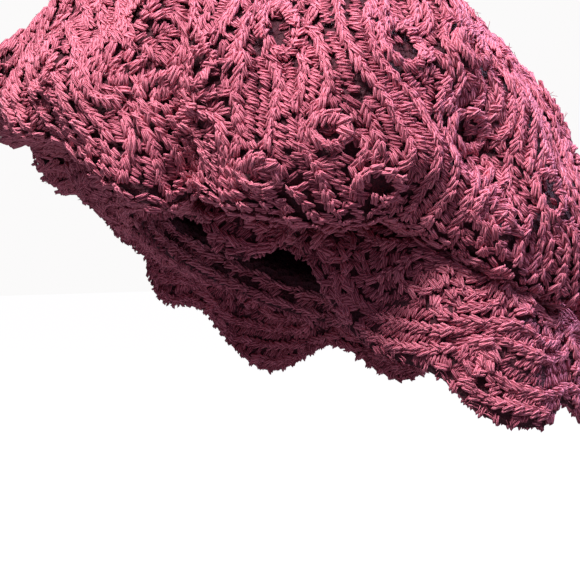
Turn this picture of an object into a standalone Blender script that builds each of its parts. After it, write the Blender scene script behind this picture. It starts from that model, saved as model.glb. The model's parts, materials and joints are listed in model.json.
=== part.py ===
"""A crochet ruffle hat, modelled as it is worn: a big puffed crown is gathered into a head band,
and a wavy ruffle flares from the band's lower edge. The rim slants down towards the nape.

The origin is the centre of the head opening, +Z is up, the front of the hat is at -Y.
Azimuths run from the front (0) to the wearer's left (90) and the back (180). Lengths are metres.
"""

import math
from collections import namedtuple

import bmesh
import bpy
import numpy as np

# The head that the hat fits.
HEAD_HALF_WIDTH = 0.079
HEAD_HALF_LENGTH = 0.101  # along the slanted rim, so the opening is 57 cm around
RIM_SLANT_DEG = 24.0  # the rim falls this much from brow to nape

# Walls of worked yarn, and the gap that keeps two pieces apart at their seam.
CROWN_WALL = 0.0070
RUFFLE_WALL = 0.0060
BAND_WALL = 0.0065
SEAM_GAP = 0.0003

# The head band.
BAND_HEIGHT = 0.020

# The crown: how high it stands over the opening, and how far it puffs out from the middle.
CROWN_HEIGHT = 0.236
CROWN_FRONT_REACH = 0.200
CROWN_SIDE_REACH = 0.222
CROWN_BACK_REACH = 0.240
ROLL_HEIGHT = 0.100  # the unit that the height of the crown's lowest roll is given in
CROWN_HOLLOW = 0.014  # how far the underside is drawn up between the roll and the band
CROWN_NECK = 0.007  # upright stretch where the crown meets the band
GATHERS = 16
GATHER_DEPTH = 0.0035
GATHER_START = 0.62  # the gathers of the underside, in shares of the way from the top to the band
GATHER_END = 0.92
GATHER_FADE = 0.12
SWELL_HEIGHT = 0.008
DENT_DEPTH = 0.016
PUFF_CENTRE = 0.060  # swells and dents point to and from this height over the opening
PUFF_START = 0.10  # share of the way from the top to the band where they begin
PUFF_END = 0.60
PUFF_FADE = 0.15  # share of that way over which they grow and die away

# The ruffle: how far it reaches from the middle, and how far it hangs below the opening.
RUFFLE_REACH = 0.240
RUFFLE_HANG = 0.120
RUFFLE_ARCH = 0.034  # how far the cloth can arch up between the band and its edge
REST_GAP = 0.002  # least room between the ruffle and the crown that rests over it
REST_BLEND = 0.003  # how softly the ruffle's arch is flattened by the crown
WALL_SLOPE_FACTOR = 1.3  # walls that slope take up this much more height than level ones
RUFFLE_SEAM_RISE = 0.006  # the ruffle's root is this far over the band's lower edge
RUFFLE_NECK = 0.007  # level stretch where the ruffle leaves the band

# How finely the walls are divided.
CROWN_COLUMNS = 90
CROWN_RINGS = 19
RUFFLE_COLUMNS = 120
RUFFLE_RINGS = 6
BAND_COLUMNS = 72

# The crown's wall from the top to the roll that overhangs the ruffle, one row for each section.
# reach: share of the crown's reach; tuck: how much it follows the creases of CROWN_FOLDS;
# rise: share of CROWN_HEIGHT; slant: share of the rim's slant; hang: how much it follows the roll's height.
Outside = namedtuple("Outside", "reach tuck rise slant hang")
CROWN_OUTSIDE = [
    Outside(reach=0.12, tuck=0.00, rise=0.995, slant=0.34, hang=0.00),
    Outside(reach=0.26, tuck=0.02, rise=0.967, slant=0.34, hang=0.00),
    Outside(reach=0.45, tuck=0.05, rise=0.895, slant=0.34, hang=0.00),
    Outside(reach=0.66, tuck=0.08, rise=0.755, slant=0.34, hang=0.00),
    Outside(reach=0.84, tuck=0.14, rise=0.560, slant=0.34, hang=0.02),
    Outside(reach=0.95, tuck=0.24, rise=0.340, slant=0.30, hang=0.33),
    Outside(reach=1.00, tuck=0.42, rise=0.160, slant=0.15, hang=0.70),
    Outside(reach=1.00, tuck=0.72, rise=0.040, slant=0.04, hang=0.97),
    Outside(reach=0.99, tuck=1.00, rise=0.000, slant=0.00, hang=1.00),
]

# The crown's underside from that roll in to the band.
# out: share of the way out from the band to the roll; climb: share of the way from the roll's height
# to the band's; hollow: share of CROWN_HOLLOW.
Underside = namedtuple("Underside", "out climb hollow")
CROWN_UNDERSIDE = [
    Underside(out=0.84, climb=0.08, hollow=0.10),
    Underside(out=0.60, climb=0.34, hollow=0.75),
    Underside(out=0.32, climb=0.70, hollow=1.00),
    Underside(out=0.10, climb=0.94, hollow=0.50),
    Underside(out=0.00, climb=1.00, hollow=0.00),
]

# The crown's roll all round, one row for each lobe and each crease between lobes.
# reach: share of the crown's reach; height: share of ROLL_HEIGHT over the middle of the opening.
Fold = namedtuple("Fold", "azimuth reach height")
CROWN_FOLDS = [
    Fold(azimuth=-165, reach=0.97, height=-0.28),
    Fold(azimuth=-150, reach=0.89, height=-0.04),
    Fold(azimuth=-134, reach=0.97, height=0.00),
    Fold(azimuth=-120, reach=0.89, height=0.24),
    Fold(azimuth=-104, reach=0.96, height=0.30),
    Fold(azimuth=-90, reach=0.88, height=0.54),
    Fold(azimuth=-74, reach=0.93, height=0.62),
    Fold(azimuth=-60, reach=0.86, height=0.92),
    Fold(azimuth=-42, reach=0.91, height=0.92),
    Fold(azimuth=-24, reach=0.88, height=0.94),
    Fold(azimuth=-6, reach=0.96, height=0.86),
    Fold(azimuth=4, reach=0.94, height=0.84),
    Fold(azimuth=18, reach=0.98, height=0.58),
    Fold(azimuth=28, reach=0.91, height=0.38),
    Fold(azimuth=33, reach=0.78, height=0.50),
    Fold(azimuth=38, reach=0.87, height=0.43),
    Fold(azimuth=45, reach=0.88, height=0.36),
    Fold(azimuth=54, reach=0.86, height=0.30),
    Fold(azimuth=64, reach=0.88, height=0.30),
    Fold(azimuth=73, reach=0.86, height=0.32),
    Fold(azimuth=82, reach=0.91, height=0.18),
    Fold(azimuth=91, reach=0.96, height=0.00),
    Fold(azimuth=100, reach=0.96, height=-0.12),
    Fold(azimuth=109, reach=0.99, height=-0.22),
    Fold(azimuth=121, reach=0.92, height=-0.10),
    Fold(azimuth=135, reach=0.99, height=-0.36),
    Fold(azimuth=149, reach=0.91, height=-0.20),
    Fold(azimuth=164, reach=0.99, height=-0.42),
    Fold(azimuth=180, reach=0.90, height=-0.24),
]

# Low swells over the crown: waves around, waves from top to band, where they start, share of SWELL_HEIGHT.
Swell = namedtuple("Swell", "around down start height")
CROWN_SWELLS = [
    Swell(around=7, down=2.0, start=0.4, height=0.50),
    Swell(around=11, down=-3.0, start=1.9, height=0.40),
    Swell(around=17, down=4.5, start=4.1, height=0.30),
]

# Dents in the crown. down: share of the way from the top to the band; width: degrees around;
# length: share of the way down; depth: share of DENT_DEPTH.
Dent = namedtuple("Dent", "azimuth down width length depth")
CROWN_DENTS = [
    Dent(azimuth=86, down=0.41, width=15, length=0.045, depth=0.90),
    Dent(azimuth=33, down=0.49, width=6, length=0.110, depth=0.60),
    Dent(azimuth=8, down=0.33, width=18, length=0.060, depth=0.55),
    Dent(azimuth=56, down=0.26, width=13, length=0.070, depth=0.50),
    Dent(azimuth=-48, down=0.31, width=19, length=0.060, depth=0.70),
    Dent(azimuth=-98, down=0.33, width=17, length=0.060, depth=0.75),
    Dent(azimuth=-140, down=0.42, width=14, length=0.050, depth=0.85),
    Dent(azimuth=176, down=0.35, width=16, length=0.060, depth=0.80),
    Dent(azimuth=131, down=0.31, width=13, length=0.070, depth=0.60),
]

# The ruffle's edge all round, one row for each wave and each pinch between waves.
# reach: share of RUFFLE_REACH; hang: share of RUFFLE_HANG below the middle of the opening;
# arch: share of RUFFLE_ARCH.
Wave = namedtuple("Wave", "azimuth reach hang arch")
RUFFLE_WAVES = [
    Wave(azimuth=-163, reach=0.87, hang=0.86, arch=1.00),
    Wave(azimuth=-147, reach=0.84, hang=0.62, arch=0.80),
    Wave(azimuth=-131, reach=0.90, hang=0.82, arch=0.90),
    Wave(azimuth=-112, reach=0.70, hang=0.36, arch=0.40),
    Wave(azimuth=-92, reach=0.57, hang=0.26, arch=0.25),
    Wave(azimuth=-75, reach=0.47, hang=-0.04, arch=0.05),
    Wave(azimuth=-60, reach=0.46, hang=-0.11, arch=0.05),
    Wave(azimuth=-46, reach=0.47, hang=-0.20, arch=0.05),
    Wave(azimuth=-34, reach=0.50, hang=-0.31, arch=0.00),
    Wave(azimuth=-22, reach=0.57, hang=-0.45, arch=0.00),
    Wave(azimuth=-11, reach=0.63, hang=-0.56, arch=0.00),
    Wave(azimuth=2, reach=0.62, hang=-0.54, arch=0.00),
    Wave(azimuth=12, reach=0.60, hang=-0.48, arch=0.00),
    Wave(azimuth=21, reach=0.56, hang=-0.36, arch=0.05),
    Wave(azimuth=28, reach=0.52, hang=-0.26, arch=0.15),
    Wave(azimuth=34, reach=0.57, hang=-0.10, arch=0.50),
    Wave(azimuth=42, reach=0.58, hang=-0.03, arch=0.70),
    Wave(azimuth=49, reach=0.55, hang=-0.08, arch=0.55),
    Wave(azimuth=56, reach=0.48, hang=-0.17, arch=0.20),
    Wave(azimuth=62, reach=0.54, hang=0.06, arch=0.60),
    Wave(azimuth=69, reach=0.58, hang=0.32, arch=1.00),
    Wave(azimuth=75, reach=0.66, hang=0.47, arch=1.15),
    Wave(azimuth=80, reach=0.80, hang=0.55, arch=1.20),
    Wave(azimuth=86, reach=0.89, hang=0.76, arch=1.20),
    Wave(azimuth=95, reach=0.96, hang=0.83, arch=1.10),
    Wave(azimuth=105, reach=0.94, hang=0.74, arch=0.85),
    Wave(azimuth=116, reach=0.99, hang=0.98, arch=1.00),
    Wave(azimuth=129, reach=0.91, hang=0.74, arch=0.80),
    Wave(azimuth=142, reach=0.99, hang=0.98, arch=1.00),
    Wave(azimuth=155, reach=0.90, hang=0.76, arch=0.80),
    Wave(azimuth=168, reach=0.98, hang=0.98, arch=1.00),
    Wave(azimuth=183, reach=0.88, hang=0.72, arch=0.80),
]

# The ruffle's wall from its neck on the band to its edge.
# out: share of the way out to the edge; fall: share of the way down to it; arch: share of the arch.
Slope = namedtuple("Slope", "out fall arch")
RUFFLE_SLOPE = [
    Slope(out=0.00, fall=0.00, arch=0.00),
    Slope(out=0.20, fall=0.05, arch=0.38),
    Slope(out=0.46, fall=0.15, arch=0.85),
    Slope(out=0.71, fall=0.31, arch=1.00),
    Slope(out=0.90, fall=0.58, arch=0.72),
    Slope(out=1.00, fall=1.00, arch=0.00),
]

# Yarn colour, linear.
YARN_COLOUR = (0.32, 0.07, 0.13, 1.0)
YARN_ROUGHNESS = 0.85

RIM_SLOPE = math.tan(math.radians(RIM_SLANT_DEG))
HEAD_PLAN_LENGTH = HEAD_HALF_LENGTH * math.cos(math.radians(RIM_SLANT_DEG))


def clear_scene():
    for old in list(bpy.data.objects):
        bpy.data.objects.remove(old, do_unlink=True)


def azimuths(columns):
    """Evenly spaced azimuths, in radians, from the front round to the front."""
    return np.arange(columns) * 2 * math.pi / columns


def through(knots, values, at):
    """Smooth curve through values at knots, read at the places in at."""
    slopes = np.gradient(values, knots, axis=0)
    step = np.clip(np.searchsorted(knots, at, side="right") - 1, 0, len(knots) - 2)
    width = knots[step + 1] - knots[step]
    s = ((at - knots[step]) / width).reshape((-1,) + (1,) * (values.ndim - 1))
    width = width.reshape(s.shape)
    return (
        values[step] * (2 * s**3 - 3 * s**2 + 1)
        + slopes[step] * width * (s**3 - 2 * s**2 + s)
        + values[step + 1] * (3 * s**2 - 2 * s**3)
        + slopes[step + 1] * width * (s**3 - s**2)
    )


def around(table, column, angles):
    """One column of a fold table as a smooth closed curve, read at angles."""
    turns = np.concatenate([[row.azimuth + 360 * turn for row in table] for turn in (-1, 0, 1, 2)])
    values = np.tile([getattr(row, column) for row in table], 4)
    return through(turns, values, np.degrees(angles))


def rim_height(radius, angles):
    """Height of the slanted rim plane."""
    return RIM_SLOPE * radius * np.cos(angles)


def band_radius(angles):
    """Distance from the axis to the middle of the band's wall, in plan."""
    half_width = HEAD_HALF_WIDTH + BAND_WALL / 2
    half_length = HEAD_PLAN_LENGTH + BAND_WALL / 2
    return half_width * half_length / np.hypot(half_width * np.cos(angles), half_length * np.sin(angles))


def crown_reach(angles):
    """How far the crown puffs out, from its front, side and back reach."""
    ahead = np.cos(angles)
    end = np.where(ahead > 0, CROWN_FRONT_REACH, CROWN_BACK_REACH)
    return CROWN_SIDE_REACH + (end - CROWN_SIDE_REACH) * ahead**2


def crown_sections(angles):
    """The crown's sections from the top to the band: their radii and heights, a column for each azimuth."""
    reach = crown_reach(angles)
    fold = around(CROWN_FOLDS, "reach", angles)
    roll_height = around(CROWN_FOLDS, "height", angles) * ROLL_HEIGHT
    radii, heights = [np.zeros_like(angles)], [np.full_like(angles, CROWN_HEIGHT)]
    for row in CROWN_OUTSIDE:
        radius = reach * row.reach * (1 - row.tuck * (1 - fold))
        slanted = row.slant * rim_height(radius, angles)
        radii.append(radius)
        heights.append(row.rise * CROWN_HEIGHT + slanted + row.hang * roll_height)
    roll_radius = radii[-1]
    neck_radius = band_radius(angles)
    seam_height = rim_height(neck_radius, angles) + BAND_HEIGHT / 2 + SEAM_GAP
    neck_height = seam_height + CROWN_NECK
    for row in CROWN_UNDERSIDE:
        radii.append(neck_radius + (roll_radius - neck_radius) * row.out)
        climbed = roll_height + (neck_height - roll_height) * row.climb
        heights.append(climbed + CROWN_HOLLOW * row.hollow)
    radii.append(neck_radius)
    heights.append(seam_height)
    return np.array(radii), np.array(heights)


def dent_depth(row, angles, down):
    """Depth of one dent at each azimuth and each share of the way down."""
    turned = (np.degrees(angles) - row.azimuth + 180) % 360 - 180
    far = (turned / row.width) ** 2 + ((down - row.down) / row.length) ** 2
    return row.depth * DENT_DEPTH * np.exp(-far)


def swell_height(row, angles, down):
    """Height of one set of swells at each azimuth and each share of the way down."""
    phase = row.around * angles + row.down * 2 * math.pi * down + row.start
    return row.height * SWELL_HEIGHT * np.sin(phase)


def between(down, start, end, fade):
    """One from start to end, growing and dying away over the fade, and nought outside."""
    return np.clip((down - start) / fade, 0, 1) * np.clip((end - down) / fade, 0, 1)


def crown_points(angles, rings):
    """The crown's middle surface: a row of points for each ring below the top."""
    radii, heights = crown_sections(angles)
    places = np.arange(len(radii), dtype=float)
    wanted = np.linspace(0.0, len(radii) - 2.0, rings)[1:]
    radius = np.vstack([through(places, radii, wanted), radii[-1]])
    height = np.vstack([through(places, heights, wanted), heights[-1]])
    down = np.append(wanted, places[-1])[:, None] / places[-1]
    puff = sum(swell_height(row, angles, down) for row in CROWN_SWELLS)
    puff = puff - sum(dent_depth(row, angles, down) for row in CROWN_DENTS)
    puff = puff * between(down, PUFF_START, PUFF_END, PUFF_FADE)
    distance = np.hypot(radius, height - PUFF_CENTRE)
    height = height + puff * (height - PUFF_CENTRE) / distance
    radius = radius + puff * radius / distance
    gather = GATHER_DEPTH * np.cos(GATHERS * angles)
    height = height + gather * between(down, GATHER_START, GATHER_END, GATHER_FADE)
    return radius, height


def room_under_crown(radius, angles):
    """The greatest height that the ruffle's middle surface can have under the crown at these points."""
    crown_radii, crown_heights = crown_points(angles, CROWN_RINGS)
    clear = (CROWN_WALL + RUFFLE_WALL) / 2 * WALL_SLOPE_FACTOR + REST_GAP
    room = np.empty_like(radius)
    for i in range(len(angles)):
        under = slice(np.argmax(crown_radii[:, i]), None)
        room[:, i] = np.interp(radius[:, i], crown_radii[under, i][::-1], crown_heights[under, i][::-1])
    return room - clear


def ruffle_points(angles, rings):
    """The ruffle's middle surface: a row of points for each ring from the band to the edge."""
    root = band_radius(angles) + BAND_WALL / 2 + SEAM_GAP
    root_height = rim_height(root, angles) - BAND_HEIGHT / 2 + RUFFLE_SEAM_RISE
    neck = root + RUFFLE_NECK
    edge = around(RUFFLE_WAVES, "reach", angles) * RUFFLE_REACH
    edge_height = -around(RUFFLE_WAVES, "hang", angles) * RUFFLE_HANG
    crest = around(RUFFLE_WAVES, "arch", angles) * RUFFLE_ARCH
    places = np.arange(len(RUFFLE_SLOPE), dtype=float)
    wanted = np.linspace(0.0, len(RUFFLE_SLOPE) - 1.0, rings)
    out, fall, arch = through(places, np.array(RUFFLE_SLOPE), wanted).T[:, :, None]
    radius = np.vstack([root, neck + (edge - neck) * out])
    height = np.vstack([root_height, root_height + (edge_height - root_height) * fall + crest * arch])
    over = (height - room_under_crown(radius, angles)) / REST_BLEND
    return radius, height - REST_BLEND * np.logaddexp(0.0, over)


def band_points(angles):
    """The band's middle surface: its lower and its upper edge."""
    radius = np.tile(band_radius(angles), (2, 1))
    middle = rim_height(radius, angles)
    return radius, middle + np.array([[-BAND_HEIGHT / 2], [BAND_HEIGHT / 2]])


def place_ring(verts, radius, height, angles):
    for vert, r, z, angle in zip(verts, radius, height, angles):
        vert.co = (r * math.sin(angle), -r * math.cos(angle), z)


def next_ring(bm, ring):
    """Extrudes a closed ring of vertices and gives the new ring, in the same order."""
    edges = [bm.edges.get((vert, ring[i - 1])) for i, vert in enumerate(ring)]
    made = bmesh.ops.extrude_edge_only(bm, edges=edges)["geom"]
    new_verts = {item for item in made if isinstance(item, bmesh.types.BMVert)}
    return [
        next(edge.other_vert(vert) for edge in vert.link_edges if edge.other_vert(vert) in new_verts)
        for vert in ring
    ]


def start_ring(bm, columns, cap):
    """A circle of vertices, in order round the axis, filled to its centre if it is capped."""
    made = bmesh.ops.create_circle(bm, cap_ends=cap, cap_tris=cap, segments=columns, radius=1.0)
    circle = [vert for vert in made["verts"] if any(vert.co)]
    return sorted(circle, key=lambda vert: math.atan2(vert.co.x, -vert.co.y))


def sheet_of_rings(bm, first, radius, height, angles):
    """Places the first ring and extrudes the others from it."""
    ring = first
    place_ring(ring, radius[0], height[0], angles)
    for ring_radius, ring_height in zip(radius[1:], height[1:]):
        ring = next_ring(bm, ring)
        place_ring(ring, ring_radius, ring_height, angles)


def yarn_material(name):
    material = bpy.data.materials.new(name)
    material.use_nodes = True
    shader = material.node_tree.nodes["Principled BSDF"]
    shader.inputs["Base Color"].default_value = YARN_COLOUR
    shader.inputs["Roughness"].default_value = YARN_ROUGHNESS
    shader.inputs["Metallic"].default_value = 0.0
    return material


def worked_wall(name, bm, wall):
    """Turns a sheet into a named object whose wall has its thickness from a Solidify modifier."""
    bmesh.ops.recalc_face_normals(bm, faces=bm.faces)
    mesh = bpy.data.meshes.new(name)
    bm.to_mesh(mesh)
    bm.free()
    mesh.shade_smooth()
    mesh.materials.append(yarn_material(name + "_yarn"))
    obj = bpy.data.objects.new(name, mesh)
    bpy.context.scene.collection.objects.link(obj)
    solid = obj.modifiers.new("wall", "SOLIDIFY")
    solid.thickness = wall
    solid.offset = 0.0


def make_crown():
    angles = azimuths(CROWN_COLUMNS)
    radius, height = crown_points(angles, CROWN_RINGS)
    bm = bmesh.new()
    ring = start_ring(bm, CROWN_COLUMNS, cap=True)
    centre = next(vert for vert in bm.verts if vert not in set(ring))
    centre.co = (0.0, 0.0, CROWN_HEIGHT)
    sheet_of_rings(bm, ring, radius, height, angles)
    worked_wall("crown", bm, CROWN_WALL)


def make_band():
    angles = azimuths(BAND_COLUMNS)
    radius, height = band_points(angles)
    bm = bmesh.new()
    ring = start_ring(bm, BAND_COLUMNS, cap=False)
    sheet_of_rings(bm, ring, radius, height, angles)
    worked_wall("head_band", bm, BAND_WALL)


def make_ruffle():
    angles = azimuths(RUFFLE_COLUMNS)
    radius, height = ruffle_points(angles, RUFFLE_RINGS)
    bm = bmesh.new()
    ring = start_ring(bm, RUFFLE_COLUMNS, cap=False)
    sheet_of_rings(bm, ring, radius, height, angles)
    worked_wall("ruffle", bm, RUFFLE_WALL)


def main():
    clear_scene()
    make_crown()
    make_band()
    make_ruffle()


main()
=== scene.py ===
"""The looks of the crochet ruffle hat: worked cloth, thousands of yarn strands laid in stitches, and a stage.

The shape is the CAD model's own: the tables and curves below repeat it, in the same frame and in metres.
Azimuths run from the front (0) to the wearer's left (90) and the back (180).
"""

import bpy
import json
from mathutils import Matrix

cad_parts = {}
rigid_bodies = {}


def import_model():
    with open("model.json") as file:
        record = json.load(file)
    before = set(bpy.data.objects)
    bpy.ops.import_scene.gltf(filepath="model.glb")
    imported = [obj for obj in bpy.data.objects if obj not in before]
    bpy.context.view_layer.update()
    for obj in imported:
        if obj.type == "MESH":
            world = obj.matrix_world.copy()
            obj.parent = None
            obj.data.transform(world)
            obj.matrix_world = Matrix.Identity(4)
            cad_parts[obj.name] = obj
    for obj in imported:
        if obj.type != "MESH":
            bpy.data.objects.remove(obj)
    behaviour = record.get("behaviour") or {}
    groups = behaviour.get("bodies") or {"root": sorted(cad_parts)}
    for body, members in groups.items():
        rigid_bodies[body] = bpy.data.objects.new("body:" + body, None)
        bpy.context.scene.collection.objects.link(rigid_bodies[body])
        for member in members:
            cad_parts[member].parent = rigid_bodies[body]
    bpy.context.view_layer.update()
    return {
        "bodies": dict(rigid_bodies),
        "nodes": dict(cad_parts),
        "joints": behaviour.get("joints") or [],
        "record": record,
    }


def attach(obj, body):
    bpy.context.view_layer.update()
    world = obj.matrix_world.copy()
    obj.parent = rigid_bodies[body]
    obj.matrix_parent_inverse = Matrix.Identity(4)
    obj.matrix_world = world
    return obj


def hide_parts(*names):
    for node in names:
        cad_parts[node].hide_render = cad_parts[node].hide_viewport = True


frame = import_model()

import json
import math
from collections import deque, namedtuple

import bmesh
import bpy
import numpy as np
from mathutils import Matrix, Vector

bl_info = {
    "name": "Crochet ruffle hat",
    "version": (1, 0, 0),
    "blender": (4, 5, 0),
    "location": "3D View > Sidebar > Hat",
    "description": "Makes a crochet ruffle hat out of worked cloth and yarn strands",
    "category": "Add Mesh",
}

# The opening, as half sizes, its slant, and the walls of worked yarn.
HEAD_HALF_WIDTH = 0.079
HEAD_HALF_LENGTH = 0.101
RIM_SLANT = math.radians(24.0)
CROWN_WALL = 0.0070
RUFFLE_WALL = 0.0060
BAND_WALL = 0.0065
SEAM_GAP = 0.0003
BAND_HEIGHT = 0.020

# The crown.
CROWN_HEIGHT = 0.236
CROWN_FRONT_REACH = 0.200
CROWN_SIDE_REACH = 0.222
CROWN_BACK_REACH = 0.240
ROLL_HEIGHT = 0.100
CROWN_HOLLOW = 0.014
CROWN_NECK = 0.007
GATHERS = 16
GATHER_DEPTH = 0.0035
GATHER_START = 0.62
GATHER_END = 0.92
GATHER_FADE = 0.12
SWELL_HEIGHT = 0.008
DENT_DEPTH = 0.016
PUFF_CENTRE = 0.060
PUFF_START = 0.10
PUFF_END = 0.60
PUFF_FADE = 0.15

# The ruffle.
RUFFLE_REACH = 0.240
RUFFLE_HANG = 0.120
RUFFLE_ARCH = 0.034
REST_GAP = 0.002
REST_BLEND = 0.003
WALL_SLOPE_FACTOR = 1.3
RUFFLE_SEAM_RISE = 0.006
RUFFLE_NECK = 0.007
CROWN_RINGS = 19

RIM_SLOPE = math.tan(RIM_SLANT)
HEAD_PLAN_LENGTH = HEAD_HALF_LENGTH * math.cos(RIM_SLANT)

# Crown sections from the top to the roll: shares of reach, crease, height, rim slant and roll height.
Outside = namedtuple("Outside", "reach tuck rise slant hang")
CROWN_OUTSIDE = [
    Outside(0.12, 0.00, 0.995, 0.34, 0.00),
    Outside(0.26, 0.02, 0.967, 0.34, 0.00),
    Outside(0.45, 0.05, 0.895, 0.34, 0.00),
    Outside(0.66, 0.08, 0.755, 0.34, 0.00),
    Outside(0.84, 0.14, 0.560, 0.34, 0.02),
    Outside(0.95, 0.24, 0.340, 0.30, 0.33),
    Outside(1.00, 0.42, 0.160, 0.15, 0.70),
    Outside(1.00, 0.72, 0.040, 0.04, 0.97),
    Outside(0.99, 1.00, 0.000, 0.00, 1.00),
]

# Crown sections from the roll in to the band: shares of the way out, the climb and the hollow.
Underside = namedtuple("Underside", "out climb hollow")
CROWN_UNDERSIDE = [
    Underside(0.84, 0.08, 0.10),
    Underside(0.60, 0.34, 0.75),
    Underside(0.32, 0.70, 1.00),
    Underside(0.10, 0.94, 0.50),
    Underside(0.00, 1.00, 0.00),
]

# Lobes and creases of the crown's roll: azimuth, share of reach, share of ROLL_HEIGHT.
Fold = namedtuple("Fold", "azimuth reach height")
CROWN_FOLDS = [
    Fold(-165, 0.97, -0.28),
    Fold(-150, 0.89, -0.04),
    Fold(-134, 0.97, 0.00),
    Fold(-120, 0.89, 0.24),
    Fold(-104, 0.96, 0.30),
    Fold(-90, 0.88, 0.54),
    Fold(-74, 0.93, 0.62),
    Fold(-60, 0.86, 0.92),
    Fold(-42, 0.91, 0.92),
    Fold(-24, 0.88, 0.94),
    Fold(-6, 0.96, 0.86),
    Fold(4, 0.94, 0.84),
    Fold(18, 0.98, 0.58),
    Fold(28, 0.91, 0.38),
    Fold(33, 0.78, 0.50),
    Fold(38, 0.87, 0.43),
    Fold(45, 0.88, 0.36),
    Fold(54, 0.86, 0.30),
    Fold(64, 0.88, 0.30),
    Fold(73, 0.86, 0.32),
    Fold(82, 0.91, 0.18),
    Fold(91, 0.96, 0.00),
    Fold(100, 0.96, -0.12),
    Fold(109, 0.99, -0.22),
    Fold(121, 0.92, -0.10),
    Fold(135, 0.99, -0.36),
    Fold(149, 0.91, -0.20),
    Fold(164, 0.99, -0.42),
    Fold(180, 0.90, -0.24),
]

# Low swells: waves around, waves from top to band, start, share of SWELL_HEIGHT.
Swell = namedtuple("Swell", "around down start height")
CROWN_SWELLS = [Swell(7, 2.0, 0.4, 0.50), Swell(11, -3.0, 1.9, 0.40), Swell(17, 4.5, 4.1, 0.30)]

# Dents: azimuth, share of the way down, degrees wide, share long, share of DENT_DEPTH.
Dent = namedtuple("Dent", "azimuth down width length depth")
CROWN_DENTS = [
    Dent(86, 0.41, 15, 0.045, 0.90),
    Dent(33, 0.49, 6, 0.110, 0.60),
    Dent(8, 0.33, 18, 0.060, 0.55),
    Dent(56, 0.26, 13, 0.070, 0.50),
    Dent(-48, 0.31, 19, 0.060, 0.70),
    Dent(-98, 0.33, 17, 0.060, 0.75),
    Dent(-140, 0.42, 14, 0.050, 0.85),
    Dent(176, 0.35, 16, 0.060, 0.80),
    Dent(131, 0.31, 13, 0.070, 0.60),
]

# Waves of the ruffle's edge: azimuth, share of reach, share of hang, share of arch.
Wave = namedtuple("Wave", "azimuth reach hang arch")
RUFFLE_WAVES = [
    Wave(-163, 0.87, 0.86, 1.00),
    Wave(-147, 0.84, 0.62, 0.80),
    Wave(-131, 0.90, 0.82, 0.90),
    Wave(-112, 0.70, 0.36, 0.40),
    Wave(-92, 0.57, 0.26, 0.25),
    Wave(-75, 0.47, -0.04, 0.05),
    Wave(-60, 0.46, -0.11, 0.05),
    Wave(-46, 0.47, -0.20, 0.05),
    Wave(-34, 0.50, -0.31, 0.00),
    Wave(-22, 0.57, -0.45, 0.00),
    Wave(-11, 0.63, -0.56, 0.00),
    Wave(2, 0.62, -0.54, 0.00),
    Wave(12, 0.60, -0.48, 0.00),
    Wave(21, 0.56, -0.36, 0.05),
    Wave(28, 0.52, -0.26, 0.15),
    Wave(34, 0.57, -0.10, 0.50),
    Wave(42, 0.58, -0.03, 0.70),
    Wave(49, 0.55, -0.08, 0.55),
    Wave(56, 0.48, -0.17, 0.20),
    Wave(62, 0.54, 0.06, 0.60),
    Wave(69, 0.58, 0.32, 1.00),
    Wave(75, 0.66, 0.47, 1.15),
    Wave(80, 0.80, 0.55, 1.20),
    Wave(86, 0.89, 0.76, 1.20),
    Wave(95, 0.96, 0.83, 1.10),
    Wave(105, 0.94, 0.74, 0.85),
    Wave(116, 0.99, 0.98, 1.00),
    Wave(129, 0.91, 0.74, 0.80),
    Wave(142, 0.99, 0.98, 1.00),
    Wave(155, 0.90, 0.76, 0.80),
    Wave(168, 0.98, 0.98, 1.00),
    Wave(183, 0.88, 0.72, 0.80),
]

# The ruffle's wall from its neck to its edge: shares of the way out, the fall and the arch.
Slope = namedtuple("Slope", "out fall arch")
RUFFLE_SLOPE = [
    Slope(0.00, 0.00, 0.00),
    Slope(0.20, 0.05, 0.38),
    Slope(0.46, 0.15, 0.85),
    Slope(0.71, 0.31, 1.00),
    Slope(0.90, 0.58, 0.72),
    Slope(1.00, 1.00, 0.00),
]

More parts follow.
